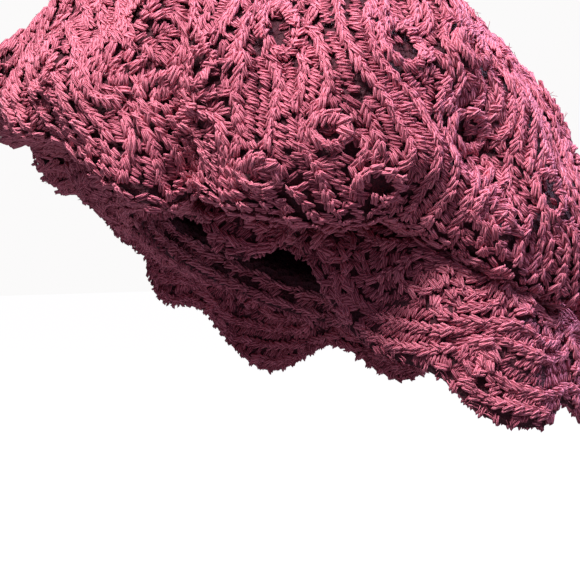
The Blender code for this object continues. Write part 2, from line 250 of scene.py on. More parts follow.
# Rings and ovals worked into the cloth, where lines of stitches run round a hollow.
# azimuth and down: place, degrees and share of the way; wide and tall: half sizes in millimetres;
# turn: degrees; pit: depth of the hollow in millimetres.
Oval = namedtuple("Oval", "azimuth down wide tall turn pit")
CROWN_OVALS = [
    Oval(50.5, 0.361, 13, 20, 8, 3.0),
    Oval(72.9, 0.366, 18, 18, 0, 4.0),
    Oval(90.7, 0.348, 20, 12, 0, 2.0),
    Oval(29.6, 0.450, 20, 15, 20, 2.0),
    Oval(87.0, 0.424, 22, 14, 0, 6.0),
    Oval(87.6, 0.522, 16, 13, 0, 2.0),
    Oval(58.5, 0.468, 13, 11, 0, 2.5),
    Oval(36.4, 0.420, 10, 13, -25, 2.5),
    Oval(18.9, 0.449, 13, 16, 25, 2.0),
    Oval(22.2, 0.360, 12, 17, -20, 2.5),
    Oval(39.3, 0.300, 13, 14, 15, 2.0),
    Oval(66.7, 0.540, 16, 10, 10, 2.5),
    Oval(47.0, 0.535, 13, 10, -10, 2.0),
    Oval(68.0, 0.270, 14, 18, 20, 2.0),
    Oval(103.0, 0.460, 14, 16, 15, 2.5),
    Oval(108.0, 0.330, 16, 13, -15, 2.0),
    Oval(122.0, 0.420, 12, 18, 0, 2.5),
    Oval(118.0, 0.540, 15, 12, 20, 2.0),
    Oval(137.0, 0.350, 17, 13, 10, 2.0),
    Oval(141.0, 0.480, 13, 17, -15, 2.5),
    Oval(158.0, 0.400, 14, 14, 0, 2.0),
    Oval(163.0, 0.540, 16, 11, 10, 2.5),
    Oval(-178.0, 0.450, 12, 18, 12, 2.5),
    Oval(-160.0, 0.350, 15, 13, -20, 2.0),
    Oval(-157.0, 0.500, 14, 15, 0, 2.5),
    Oval(-138.0, 0.330, 13, 17, 15, 2.0),
    Oval(-133.0, 0.490, 16, 12, -10, 2.5),
    Oval(-116.0, 0.410, 13, 16, 20, 2.0),
    Oval(-97.0, 0.450, 15, 13, 0, 2.5),
    Oval(-94.0, 0.260, 14, 15, -15, 2.0),
    Oval(-76.0, 0.370, 12, 18, 10, 2.5),
    Oval(-62.0, 0.470, 16, 12, 0, 2.0),
    Oval(-52.0, 0.400, 13, 15, -20, 2.5),
    Oval(-34.0, 0.330, 14, 17, 15, 2.0),
    Oval(-24.0, 0.450, 15, 12, 0, 2.5),
    Oval(-10.0, 0.360, 12, 17, -10, 2.5),
    Oval(2.0, 0.470, 15, 13, 10, 2.0),
    Oval(0.0, 0.250, 14, 14, 0, 2.0),
    Oval(150.0, 0.230, 15, 15, 0, 2.0),
    Oval(-120.0, 0.220, 15, 14, 0, 2.0),
]
RUFFLE_OVALS = [
    Oval(80.5, 0.780, 16, 13, 0, 2.0),
    Oval(86.0, 0.900, 11, 11, 0, 2.0),
    Oval(96.0, 0.700, 15, 12, 10, 2.0),
    Oval(112.0, 0.820, 14, 12, 0, 2.0),
    Oval(128.0, 0.680, 15, 12, 0, 2.0),
    Oval(143.0, 0.850, 14, 11, 0, 2.0),
    Oval(160.0, 0.700, 15, 12, 0, 2.0),
    Oval(177.0, 0.840, 13, 12, 0, 2.0),
    Oval(-166.0, 0.660, 14, 12, 0, 2.0),
    Oval(-146.0, 0.820, 14, 12, 0, 2.0),
    Oval(-126.0, 0.700, 14, 11, 0, 2.0),
    Oval(43.0, 0.620, 12, 10, 0, 2.0),
    Oval(67.0, 0.780, 12, 10, 0, 2.0),
]

# How finely the cloth is divided: to follow the stitches over it, and to be seen between them.
FINE_COLUMNS = 360
CROWN_FINE_RINGS = 150
RUFFLE_FINE_RINGS = 61
BAND_FINE_RINGS = 9
CROWN_CLOTH_COLUMNS = 144
CROWN_CLOTH_RINGS = 54
RUFFLE_CLOTH_COLUMNS = 200
RUFFLE_CLOTH_RINGS = 21
BAND_CLOTH_COLUMNS = 120
BAND_CLOTH_RINGS = 3

# The cloth under the stitches: its walls, and how deep it lies under the crown's middle surface.
CROWN_CLOTH_WALL = 0.0030
CROWN_CLOTH_SINK = 0.0030
BAND_CLOTH_WALL = 0.0060
RUFFLE_CLOTH_WALL = 0.0016

# How far the strands' middles stand over the middle surface of each piece.
CROWN_STRANDS_OUT = 0.0020
BAND_STRANDS_OUT = 0.0034
RUFFLE_STRANDS_OUT = 0.0024

# Rows and columns of places where lines of stitches may start.
CROWN_STARTS = (24, 60)
BAND_STARTS = (6, 12)
RUFFLE_STARTS = (12, 40)

# Seeds for what is uneven.
LUMP_SEED = 5
CROWN_SEED = 7
BAND_SEED = 11
RUFFLE_SEED = 13

# Meanders of the lines of stitches: waves around, waves down, start, and the turn in radians.
Meander = namedtuple("Meander", "around down start turn")
CROWN_MEANDERS = [Meander(6, 9, 0.0, 0.30), Meander(11, -23, 1.3, 0.24)]
RUFFLE_MEANDER = Meander(13, 5, 0.0, 0.30)

# At the front the crown's lines turn the other way, over this width round this azimuth, in radians.
FRONT_TURN = 0.62
FRONT_TURN_AZIMUTH = 0.12
FRONT_TURN_WIDTH = 0.60

# Lines run round the top out to this radius, and turn downwards over the next stretch.
ROUNDS_RADIUS = 0.062
ROUNDS_FADE = 0.020

# The stretch under the roll where the stitches sag, in shares of the way down.
SAG_START = 0.56
SAG_END = 0.86
SAG_FADE = 0.08

# The cloth's lumps are so many crossing waves, cut off where they would go deeper than this.
LUMP_WAVES = 14
DEEPEST_LUMP = 0.0020

# An oval bends the lines round it, has a rim and a groove outside that, and reaches only so deep into the hat.
OVAL_STRENGTH = 3.0
OVAL_SPREAD = 1.6
OVAL_RIM = 0.0018
OVAL_GROOVE = 0.7
OVAL_PIT_FACTOR = 1.6
OVAL_DEPTH = 0.030

# Rings of stitches round an oval, in shares of its half sizes. The inner one is left out over a deeper pit, in mm.
OUTER_RING = 0.88
INNER_RING = 0.42
PIT_OF_A_SPIRAL = 2.2

# In shares of the line spacing: how near a line may grow, start or be laid as a ring to the lines before it, how far
# from a rib counts as beside it, how much of its own length a line may be near to, and the shortest line.
GROWING_GAP = 0.78
STARTING_GAP = 0.94
RING_GAP = 0.70
BESIDE_A_RIB = 1.3
OWN_STRETCH = 2.2
SHORTEST_LINE = 2.2
MOST_STEPS = 2000
FEWEST_IN_A_RUN = 6

# Loose strands: places tried, and how much more unevenly and how much deeper they lie than the others.
LOOSE_TRIES = 26000
LOOSE_UNEVENNESS = 5
LOOSE_DEPTH = 0.0005

# Spreads of what is uneven about a strand: its place in metres, its rise, and shares of its length and thickness.
PLACE_SPREAD = 0.0004
TIP_SPREAD = 0.12
LENGTH_SPREAD = 0.10
THICKNESS_SPREAD = 0.08

# How light the yarn is, from 0 to 1: for each kind of stitch and for each metre of height, as painted shade that
# darkens the stitches lying deeper in the cloth, and its random spread.
PAINTED_SHADE_BY_KIND = (0.72, 0.42, 0.20)
PAINTED_SHADE_FOR_HEIGHT = 110
TONE_SPREAD = 0.12
FIBRE_TONE = 0.9

# A strand's two threads: from its middle, in shares of its width, and their width and height in shares of it.
THREAD_ASIDE = 0.29
THREAD_SHARES = (1.0, 0.60, 0.66)

# A strand's shape: how much its middle is drawn out along it and filled out, and how far its ends dip.
STRAND_SHOULDERS = 1.35
STRAND_FULLNESS = 1.18
STRAND_ARCH = 2.8

# A loose fibre.
FIBRE_THICKNESS = 0.00035
SHORTEST_FIBRE = 0.004
LONGEST_FIBRE = 0.008

# The shells along the edge: their width, the step from strand to strand, and a strand's length, width and height.
SHELL_WIDTH = 0.011
SHELL_STEP = 0.0022
SHELL_STRAND = (0.0080, 0.0034, 0.0048)


def azimuths(columns):
    """Evenly spaced azimuths, in radians, from the front round to the front."""
    return np.arange(columns) * 2 * math.pi / columns


def through(knots, values, at):
    """Smooth curve through values at knots, read at the places in at."""
    slopes = np.gradient(values, knots, axis=0)
    step = np.clip(np.searchsorted(knots, at, side="right") - 1, 0, len(knots) - 2)
    width = knots[step + 1] - knots[step]
    s = ((at - knots[step]) / width).reshape((-1,) + (1,) * (values.ndim - 1))
    width = width.reshape(s.shape)
    return (
        values[step] * (2 * s**3 - 3 * s**2 + 1)
        + slopes[step] * width * (s**3 - 2 * s**2 + s)
        + values[step + 1] * (3 * s**2 - 2 * s**3)
        + slopes[step + 1] * width * (s**3 - s**2)
    )


def around(table, column, angles):
    """One column of a fold table as a smooth closed curve, read at angles."""
    turns = np.concatenate([[row.azimuth + 360 * turn for row in table] for turn in (-1, 0, 1, 2)])
    values = np.tile([getattr(row, column) for row in table], 4)
    return through(turns, values, np.degrees(angles))


def rim_height(radius, angles):
    """Height of the slanted rim plane."""
    return RIM_SLOPE * radius * np.cos(angles)


def band_radius(angles):
    """Distance from the axis to the middle of the band's wall, in plan."""
    half_width = HEAD_HALF_WIDTH + BAND_WALL / 2
    half_length = HEAD_PLAN_LENGTH + BAND_WALL / 2
    return half_width * half_length / np.hypot(half_width * np.cos(angles), half_length * np.sin(angles))


def crown_reach(angles):
    """How far the crown puffs out, from its front, side and back reach."""
    ahead = np.cos(angles)
    end = np.where(ahead > 0, CROWN_FRONT_REACH, CROWN_BACK_REACH)
    return CROWN_SIDE_REACH + (end - CROWN_SIDE_REACH) * ahead**2


def crown_sections(angles):
    """The crown's sections from the top to the band: their radii and heights."""
    reach = crown_reach(angles)
    fold = around(CROWN_FOLDS, "reach", angles)
    roll_height = around(CROWN_FOLDS, "height", angles) * ROLL_HEIGHT
    radii, heights = [np.zeros_like(angles)], [np.full_like(angles, CROWN_HEIGHT)]
    for row in CROWN_OUTSIDE:
        radius = reach * row.reach * (1 - row.tuck * (1 - fold))
        slanted = row.slant * rim_height(radius, angles)
        radii.append(radius)
        heights.append(row.rise * CROWN_HEIGHT + slanted + row.hang * roll_height)
    roll_radius = radii[-1]
    neck_radius = band_radius(angles)
    seam_height = rim_height(neck_radius, angles) + BAND_HEIGHT / 2 + SEAM_GAP
    neck_height = seam_height + CROWN_NECK
    for row in CROWN_UNDERSIDE:
        radii.append(neck_radius + (roll_radius - neck_radius) * row.out)
        climbed = roll_height + (neck_height - roll_height) * row.climb
        heights.append(climbed + CROWN_HOLLOW * row.hollow)
    radii.append(neck_radius)
    heights.append(seam_height)
    return np.array(radii), np.array(heights)


def dent_depth(row, angles, down):
    """Depth of one dent at each azimuth and each share of the way down."""
    turned = (np.degrees(angles) - row.azimuth + 180) % 360 - 180
    far = (turned / row.width) ** 2 + ((down - row.down) / row.length) ** 2
    return row.depth * DENT_DEPTH * np.exp(-far)


def swell_height(row, angles, down):
    """Height of one set of swells at each azimuth and each share of the way down."""
    phase = row.around * angles + row.down * 2 * math.pi * down + row.start
    return row.height * SWELL_HEIGHT * np.sin(phase)


def between(down, start, end, fade):
    """One from start to end, growing and dying away over the fade, and nought outside."""
    return np.clip((down - start) / fade, 0, 1) * np.clip((end - down) / fade, 0, 1)


def crown_points(angles, rings):
    """The crown's middle surface: a row of points for each ring below the top."""
    radii, heights = crown_sections(angles)
    places = np.arange(len(radii), dtype=float)
    wanted = np.linspace(0.0, len(radii) - 2.0, rings)[1:]
    radius = np.vstack([through(places, radii, wanted), radii[-1]])
    height = np.vstack([through(places, heights, wanted), heights[-1]])
    down = np.append(wanted, places[-1])[:, None] / places[-1]
    puff = sum(swell_height(row, angles, down) for row in CROWN_SWELLS)
    puff = puff - sum(dent_depth(row, angles, down) for row in CROWN_DENTS)
    puff = puff * between(down, PUFF_START, PUFF_END, PUFF_FADE)
    distance = np.hypot(radius, height - PUFF_CENTRE)
    height = height + puff * (height - PUFF_CENTRE) / distance
    radius = radius + puff * radius / distance
    gather = GATHER_DEPTH * np.cos(GATHERS * angles)
    height = height + gather * between(down, GATHER_START, GATHER_END, GATHER_FADE)
    return radius, height


def room_under_crown(radius, angles):
    """The greatest height that the ruffle's middle surface can have under the crown at these points."""
    crown_radii, crown_heights = crown_points(angles, CROWN_RINGS)
    clear = (CROWN_WALL + RUFFLE_WALL) / 2 * WALL_SLOPE_FACTOR + REST_GAP
    room = np.empty_like(radius)
    for i in range(len(angles)):
        under = slice(np.argmax(crown_radii[:, i]), None)
        room[:, i] = np.interp(radius[:, i], crown_radii[under, i][::-1], crown_heights[under, i][::-1])
    return room - clear


def ruffle_points(angles, rings):
    """The ruffle's middle surface: a row of points for each ring from the band to the edge."""
    root = band_radius(angles) + BAND_WALL / 2 + SEAM_GAP
    root_height = rim_height(root, angles) - BAND_HEIGHT / 2 + RUFFLE_SEAM_RISE
    neck = root + RUFFLE_NECK
    edge = around(RUFFLE_WAVES, "reach", angles) * RUFFLE_REACH
    edge_height = -around(RUFFLE_WAVES, "hang", angles) * RUFFLE_HANG
    crest = around(RUFFLE_WAVES, "arch", angles) * RUFFLE_ARCH
    places = np.arange(len(RUFFLE_SLOPE), dtype=float)
    wanted = np.linspace(0.0, len(RUFFLE_SLOPE) - 1.0, rings)
    out, fall, arch = through(places, np.array(RUFFLE_SLOPE), wanted).T[:, :, None]
    radius = np.vstack([root, neck + (edge - neck) * out])
    height = np.vstack([root_height, root_height + (edge_height - root_height) * fall + crest * arch])
    over = (height - room_under_crown(radius, angles)) / REST_BLEND
    return radius, height - REST_BLEND * np.logaddexp(0.0, over)


def band_points(angles, rings):
    """The band's middle surface, from its upper to its lower edge."""
    radius = np.tile(band_radius(angles), (rings, 1))
    rise = np.linspace(BAND_HEIGHT / 2, -BAND_HEIGHT / 2, rings)[:, None]
    return radius, rim_height(radius, angles) + rise


def turned_points(radius, height, angles):
    """Radii and heights at the azimuths as points, in rows of rings."""
    return np.stack([radius * np.sin(angles), -radius * np.cos(angles), height], axis=-1)


def surface(points_of, columns, rings):
    """A piece's middle surface as points, in rows of rings."""
    angles = azimuths(columns)
    return turned_points(*points_of(angles, rings), angles)


def unit(vectors):
    """The vectors, each at a length of one."""
    return vectors / np.maximum(np.linalg.norm(vectors, axis=-1, keepdims=True), 1e-12)


# The columns of a fabric's field: steps along and across the stitch lines in rings and columns for each
# metre, then the point, the normal and the line's direction.
ALONG = slice(0, 2)
ACROSS = slice(2, 4)
POINT = slice(4, 7)
NORMAL = slice(7, 10)
LINE = slice(10, 13)
LIFT = 13

Fabric = namedtuple("Fabric", "field first last")


def lumps(points, width, height):
    """Uneven lumps over a fabric, about a width apart, as long waves that cross at random."""
    rng = np.random.default_rng(LUMP_SEED)
    ways = unit(rng.normal(size=(LUMP_WAVES, 3)))
    shares = rng.uniform(0.75, 1.35, LUMP_WAVES)
    starts = rng.uniform(0, 2 * math.pi, LUMP_WAVES)
    total = np.zeros(points.shape[:-1])
    for way, share, start in zip(ways, shares, starts):
        total += np.sin(points @ way * 2 * math.pi / (width * share) + start)
    return height * total * math.sqrt(2 / LUMP_WAVES)


def hump(at, middle, spread):
    """A smooth hump of height one round the middle."""
    return np.exp(-((at - middle) ** 2) / spread)


def oval_pull(oval, points, normals, columns_across, down):
    """How an oval bends the lines of stitches round it, and how its hollow and rim lift the stitches."""
    ring = oval.down * (len(points) - 1)
    i = int(round(ring))
    j = int(round(oval.azimuth / 360 * points.shape[1])) % points.shape[1]
    centre, normal = points[i, j], normals[i, j]
    turn = math.radians(oval.turn)
    wide_way = math.cos(turn) * columns_across[i, j] + math.sin(turn) * down[i, j]
    tall_way = np.cross(normal, wide_way)
    wide, tall = oval.wide / 1000, oval.tall / 1000
    x = (points - centre) @ wide_way
    y = (points - centre) @ tall_way
    depth = (points - centre) @ normal
    q = (x / wide) ** 2 + (y / tall) ** 2 + (depth / OVAL_DEPTH) ** 2
    strength = OVAL_STRENGTH * min(wide, tall) * np.exp(-q / OVAL_SPREAD)
    pull = -strength[..., None] * (x[..., None] / wide**2 * wide_way + y[..., None] / tall**2 * tall_way)
    rim = hump(np.sqrt(q), 0.80, 0.08) - OVAL_GROOVE * hump(np.sqrt(q), 1.30, 0.03)
    lift = OVAL_RIM * rim - OVAL_PIT_FACTOR * oval.pit / 1000 * np.exp(-q / 0.25)
    return pull, lift


def sagging(rings, sag):
    """How far each ring under the roll sinks to the ruffle."""
    return sag * between(np.linspace(0, 1, rings)[:, None], SAG_START, SAG_END, SAG_FADE)


def make_fabric(points, ovals, base_turn, look, side=1.0, first=1, last_gap=1, sag=0.0):
    """A fabric's field over a grid of points: where the lines of stitches run, and the way out of it."""
    across = (np.roll(points, -1, axis=1) - np.roll(points, 1, axis=1)) / 2
    down = np.gradient(points, axis=0)
    normals = unit(np.cross(down, across)) * side
    across_way = unit(across)
    down_way = unit(down - (down * across_way).sum(-1, keepdims=True) * across_way)
    climb = np.cos(base_turn)[..., None] * across_way + np.sin(base_turn)[..., None] * down_way
    lift = np.maximum(lumps(points, look.lump_width, look.lump_height), -DEEPEST_LUMP)
    lift = lift + sagging(len(points), sag)
    for oval in ovals:
        pull, raised = oval_pull(oval, points, normals, across_way, down_way)
        climb = climb + pull
        lift = lift + raised
    line = unit(np.cross(normals, climb))
    sideways = unit(np.cross(normals, line))
    metric = np.stack([(across * across).sum(-1), (across * down).sum(-1), (down * down).sum(-1)])
    whole = metric[0] * metric[2] - metric[1] ** 2

    def rates(way):
        a, d = (way * across).sum(-1), (way * down).sum(-1)
        rings = (metric[0] * d - metric[1] * a) / whole
        columns = (metric[2] * a - metric[1] * d) / whole
        return np.stack([rings, columns], axis=-1)

    parts = [rates(line), rates(sideways), points, normals, line, lift[..., None]]
    return Fabric(np.concatenate(parts, axis=-1), first, len(points) - 1 - last_gap)


def read(fabric, ring, column):
    """The field at a place between the grid's points."""
    field = fabric.field
    i = np.clip(np.floor(ring).astype(int), 0, field.shape[0] - 2)
    j = np.floor(column).astype(int)
    left, right = j % field.shape[1], (j + 1) % field.shape[1]
    s = np.expand_dims(ring - i, -1)
    t = np.expand_dims(column - j, -1)
    upper = field[i, left] * (1 - t) + field[i, right] * t
    lower = field[i + 1, left] * (1 - t) + field[i + 1, right] * t
    return upper * (1 - s) + lower * s


# The kinds of stitch: pairs in a V, single strands across, and loose ones that fill up.
RIB, LADDER, LOOSE = 0, 1, 2
NEIGHBOURS = [(x, y, z) for x in (-1, 0, 1) for y in (-1, 0, 1) for z in (-1, 0, 1)]


def cell_of(point, size):
    """The cube of that size that a point is in."""
    return tuple(int(math.floor(value / size)) for value in point)


def is_clear(cells, size, point, distance, line=None, place=0, own_gap=0):
    """Whether no line of stitches comes nearer than distance, the same line's own neighbours aside."""
    x, y, z = cell_of(point, size)
    px, py, pz = point
    limit = distance * distance
    for dx, dy, dz in NEIGHBOURS:
        for qx, qy, qz, other, where in cells.get((x + dx, y + dy, z + dz), ()):
            if other == line and abs(where - place) < own_gap:
                continue
            if (qx - px) ** 2 + (qy - py) ** 2 + (qz - pz) ** 2 < limit:
                return False
    return True


def grow_line(fabric, cells, spacing, step, start, number):
    """One line of stitches through start, both ways, as far as it keeps off the others."""
    near = spacing * GROWING_GAP
    own_gap = int(OWN_STRETCH * spacing / step)
    halves, added = [], []
    for sense in (1, -1):
        ring, column = start
        half = []
        for count in range(1, MOST_STEPS):
            here = read(fabric, ring, column)[ALONG] * sense * step / 2
            middle = read(fabric, ring + here[0], column + here[1])[ALONG] * sense * step
            ring, column = ring + middle[0], column + middle[1]
            if not fabric.first < ring < fabric.last:
                break
            point = read(fabric, ring, column)[POINT]
            if not is_clear(cells, spacing, point, near, number, sense * count, own_gap):
                break
            cell = cell_of(point, spacing)
            item = (*point, number, sense * count)
            cells.setdefault(cell, []).append(item)
            added.append((cell, item))
            half.append((ring, column))
        halves.append(half)
    line = halves[1][::-1] + [start] + halves[0]
    if len(line) * step < SHORTEST_LINE * spacing:
        for cell, item in added:
            cells[cell].remove(item)
        return None
    return np.array(line)


def oval_rings(fabric, ovals, step):
    """The closed ring of each oval, and a second one within it where no pit is, as places on the fabric."""
    rings = []
    for oval in ovals:
        centre = np.array([oval.down * (fabric.field.shape[0] - 1), oval.azimuth / 360 * fabric.field.shape[1]])
        data = read(fabric, *centre)
        normal, line = unit(data[NORMAL]), unit(data[LINE])
        sideways = np.cross(normal, line)
        level = unit(np.cross(normal, (0.0, 0.0, 1.0)))
        turn = math.radians(oval.turn)
        wide_way = math.cos(turn) * level + math.sin(turn) * np.cross(normal, level)
        tall_way = np.cross(normal, wide_way)
        for share in (OUTER_RING, INNER_RING) if oval.pit < PIT_OF_A_SPIRAL else (OUTER_RING,):
            wide, tall = share * oval.wide / 1000, share * oval.tall / 1000
            count = int(math.pi * (wide + tall) / step)
            angle = np.arange(count)[:, None] * 2 * math.pi / count
            way = np.cos(angle) * wide * wide_way + np.sin(angle) * tall * tall_way
            rings.append(centre + (way @ line)[:, None] * data[ALONG] + (way @ sideways)[:, None] * data[ACROSS])
    return rings


def lay_ring(fabric, cells, spacing, ring, number):
    """The parts of a ring that keep off the lines before it, numbered from number on."""
    points = read(fabric, *ring.T)[:, POINT]
    inside = (ring[:, 0] > fabric.first) & (ring[:, 0] < fabric.last)
    clear = [ok and is_clear(cells, spacing, point, spacing * RING_GAP) for ok, point in zip(inside, points)]
    if all(clear):
        runs = [list(range(len(ring))) + [0]]
    else:
        turned = np.roll(np.arange(len(ring)), -clear.index(False))
        runs = [[]]
        for i in turned:
            if clear[i]:
                runs[-1].append(i)
            elif runs[-1]:
                runs.append([])
    runs = [run for run in runs if len(run) >= FEWEST_IN_A_RUN]
    for extra, run in enumerate(runs):
        for place, i in enumerate(run):
            cells.setdefault(cell_of(points[i], spacing), []).append((*points[i], number + extra, place))
    return [ring[run] for run in runs]


def beside(cells, size, point, distance, numbers):
    """Whether one of the numbered lines passes within the distance."""
    x, y, z = cell_of(point, size)
    for dx, dy, dz in NEIGHBOURS:
        for qx, qy, qz, other, _ in cells.get((x + dx, y + dy, z + dz), ()):
            if other in numbers and math.dist((qx, qy, qz), point) < distance:
                return True
    return False


def grow_lines(fabric, starts, rings, look):
    """Lines of stitches over the whole fabric, evenly spaced after the given rings, each with its kind."""
    spacing, step = look.line_spacing, look.line_step
    cells, lines, waiting = {}, [], deque()

    def add_line(line):
        lines.append(line)
        shifts = read(fabric, line[:, 0], line[:, 1])[:, ACROSS] * spacing
        for place, shift in zip(line[::2], shifts[::2]):
            waiting.extend([tuple(place + shift), tuple(place - shift)])

    for ring in rings:
        for line in lay_ring(fabric, cells, spacing, ring, len(lines)):
            add_line(line)
    ribs = set(range(len(lines)))
    waiting.extend(starts)
    while waiting:
        start = waiting.popleft()
        if not fabric.first < start[0] < fabric.last:
            continue
        point = read(fabric, *start)[POINT]
        if not is_clear(cells, spacing, point, spacing * STARTING_GAP):
            continue
        line = grow_line(fabric, cells, spacing, step, start, len(lines))
        if line is not None:
            add_line(line)
    for number in range(len(ribs), len(lines)):
        points = read(fabric, *lines[number][::4].T)[:, POINT]
        near = [beside(cells, spacing, point, spacing * BESIDE_A_RIB, ribs) for point in points]
        if sum(near) < look.rib_share * len(near):
            ribs.add(number)
    return [(RIB if number in ribs else LADDER, line) for number, line in enumerate(lines)]


Strands = namedtuple("Strands", "points frames sizes tones")


def rows_on_lines(lines, look):
    """Where the strands of the lines go: ring, column, kind and side, pairs on a rib and single ones on a ladder."""
    rows = []
    for kind, line in lines:
        pitch = look.ladder_pitch if kind else look.rib_pitch
        places = np.arange(pitch / 2, (len(line) - 1) * look.line_step, pitch) / look.line_step
        ring = np.interp(places, np.arange(len(line)), line[:, 0])
        column = np.interp(places, np.arange(len(line)), line[:, 1])
        for side in (0,) if kind else (-1, 1):
            rows += [(*place, kind, side) for place in zip(ring, column)]
    return rows


def rows_between(fabric, rows, gap, rng):
    """Where loose strands fill the places that the lines leave bare."""
    cells = {}
    for point in read(fabric, *np.array(rows)[:, :2].T)[:, POINT]:
        cells.setdefault(cell_of(point, gap), []).append((*point, 0, 0))
    places = rng.uniform((fabric.first, 0), (fabric.last, fabric.field.shape[1]), (LOOSE_TRIES, 2))
    found = []
    for place, point in zip(places, read(fabric, *places.T)[:, POINT]):
        if is_clear(cells, gap, point, gap):
            cells.setdefault(cell_of(point, gap), []).append((*point, 0, 0))
            found.append((*place, LOOSE, 0))
    return found


def strands_at(data, kind, side, look, base_height, rng):
    """A strand for each row of a field's data, placed, turned, sized and toned by its kind and its side of a rib; the
    tone holds painted shade by kind and depth.
    """
    count = len(data)
    normal, along = unit(data[:, NORMAL]), unit(data[:, LINE])
    sideways = np.cross(normal, along)
    lean = np.where(kind == RIB, -side * look.rib_lean, look.ladder_lean)
    lean = lean + rng.normal(0, look.unevenness, count) * np.where(kind == LOOSE, LOOSE_UNEVENNESS, 1)
    ahead = np.cos(lean)[:, None] * along + np.sin(lean)[:, None] * sideways
    height = base_height + data[:, LIFT] + np.array([look.rib_height, 0.0, -LOOSE_DEPTH])[kind]
    height = height + rng.normal(0, PLACE_SPREAD, count)
    offset = side * look.rib_half_width + rng.normal(0, PLACE_SPREAD, count)
    points = data[:, POINT] + normal * height[:, None] + sideways * offset[:, None]
    tip = np.where(kind == RIB, look.rib_tip, 0.0) + rng.normal(0, TIP_SPREAD, count)
    roll = side * look.rib_roll
    up = unit(normal * np.cos(tip)[:, None] - ahead * np.sin(tip)[:, None] + sideways * roll[:, None])
    ahead = unit(ahead - (ahead * up).sum(-1, keepdims=True) * up)
    frames = np.stack([ahead, np.cross(up, ahead), up], axis=-1)
    long = np.where(kind == RIB, look.rib_length, look.ladder_length) * rng.normal(1.0, LENGTH_SPREAD, count)
    thick = np.where(kind == RIB, look.rib_thickness, look.ladder_thickness)
    thick = thick * rng.normal(1.0, THICKNESS_SPREAD, count)
    # Painted shade: loose strands, lying deepest, are darker and ribs, standing highest, lighter, and every strand is
    # darker the lower its lift.
    tones = np.array(PAINTED_SHADE_BY_KIND)[kind] + data[:, LIFT] * PAINTED_SHADE_FOR_HEIGHT + rng.normal(0, TONE_SPREAD, count)
    return Strands(points, frames, np.stack([long, thick, thick], axis=-1), tones)


def lay_strands(fabric, lines, look, base_height, rng):
    """Threads over a fabric: pairs in a V on a rib, single ones across on a ladder, loose ones between, and fibres."""
    rows = rows_on_lines(lines, look)
    rows += rows_between(fabric, rows, look.bare_gap, rng)
    ring, column, kind, side = np.array(rows).T
    kind = kind.astype(int)
    data = read(fabric, ring, column)
    strands = strands_at(data, kind, side, look, base_height, rng)
    worked = (kind == RIB) | (rng.random(len(rows)) > look.gaps)
    strands = pick_strands(strands, worked & (data[:, LIFT] >= -look.open_hollow))
    threads = two_by_two(strands, rng)
    with_fibre = rng.random(len(strands.points)) < look.fuzz
    return join_strands(threads, fuzz(pick_strands(strands, with_fibre), rng))


def fuzz(strands, rng):
    """Loose fibres that stand out of the strands, bent over every way."""
    count = len(strands.points)
    turn, rise = rng.uniform(0, 2 * math.pi, count)[:, None], rng.uniform(0.15, 0.75, count)[:, None]
    ahead, sideways, up = np.moveaxis(strands.frames, 2, 0)
    flat = np.cos(turn) * ahead + np.sin(turn) * sideways
    way = np.cos(rise) * flat + np.sin(rise) * up
    frames = np.stack([way, np.cross(up, flat), np.cos(rise) * up - np.sin(rise) * flat], axis=-1)
    long = rng.uniform(SHORTEST_FIBRE, LONGEST_FIBRE, count)
    thick = np.full(count, FIBRE_THICKNESS)
    points = strands.points + up * 0.0012 + way * long[:, None] * 0.3
    return Strands(points, frames, np.stack([long, thick, thick], axis=-1), np.full(count, FIBRE_TONE))


def two_by_two(strands, rng):
    """Each strand as the two threads that it is worked with, side by side."""
    pair = []
    for side in (-1, 1):
        count = len(strands.points)
        aside = strands.frames[:, :, 1] * strands.sizes[:, 1:2] * side * THREAD_ASIDE
        ahead = strands.frames[:, :, 0] * rng.normal(side * 0.0004, 0.0006, (count, 1))
        up = strands.frames[:, :, 2] * rng.normal(0, 0.0003, (count, 1))
        sizes = strands.sizes * THREAD_SHARES
        tones = np.clip(strands.tones + rng.normal(0, 0.13, count), 0, 1)
        pair.append(Strands(strands.points + aside + ahead + up, strands.frames, sizes, tones))
    return join_strands(*pair)


def join_strands(*parts):
    """Sets of strands as one."""
    return Strands(*(np.concatenate(values) for values in zip(*parts)))


def pick_strands(strands, chosen):
    """The chosen ones of the strands."""
    return Strands(*(values[chosen] for values in strands))


def quaternions(frames):
    """The turns from rows of axes, as w x y z."""
    turns = [Matrix(frame).to_quaternion() for frame in frames]
    return np.array([tuple(turn) for turn in turns])


def linear(hex_colour):
    """An sRGB hex colour as linear red, green and blue."""
    values = [int(hex_colour[i : i + 2], 16) / 255 for i in (1, 3, 5)]
    return tuple(v / 12.92 if v <= 0.04045 else ((v + 0.055) / 1.055) ** 2.4 for v in values)


def number_property(name, description, default, **settings):
    """A number that a user would change, with the settings for its unit or subtype."""
    return bpy.props.FloatProperty(name=name, description=description, default=default, **settings)


def length_property(name, description, default):
    """A length in metres."""
    return number_property(name, description, default, min=0.0, unit="LENGTH")


def colour_property(name, description, default):
    """A colour, from its sRGB hex value."""
    return bpy.props.FloatVectorProperty(
        name=name, description=description, default=linear(default), subtype="COLOR", min=0.0, max=1.0
    )


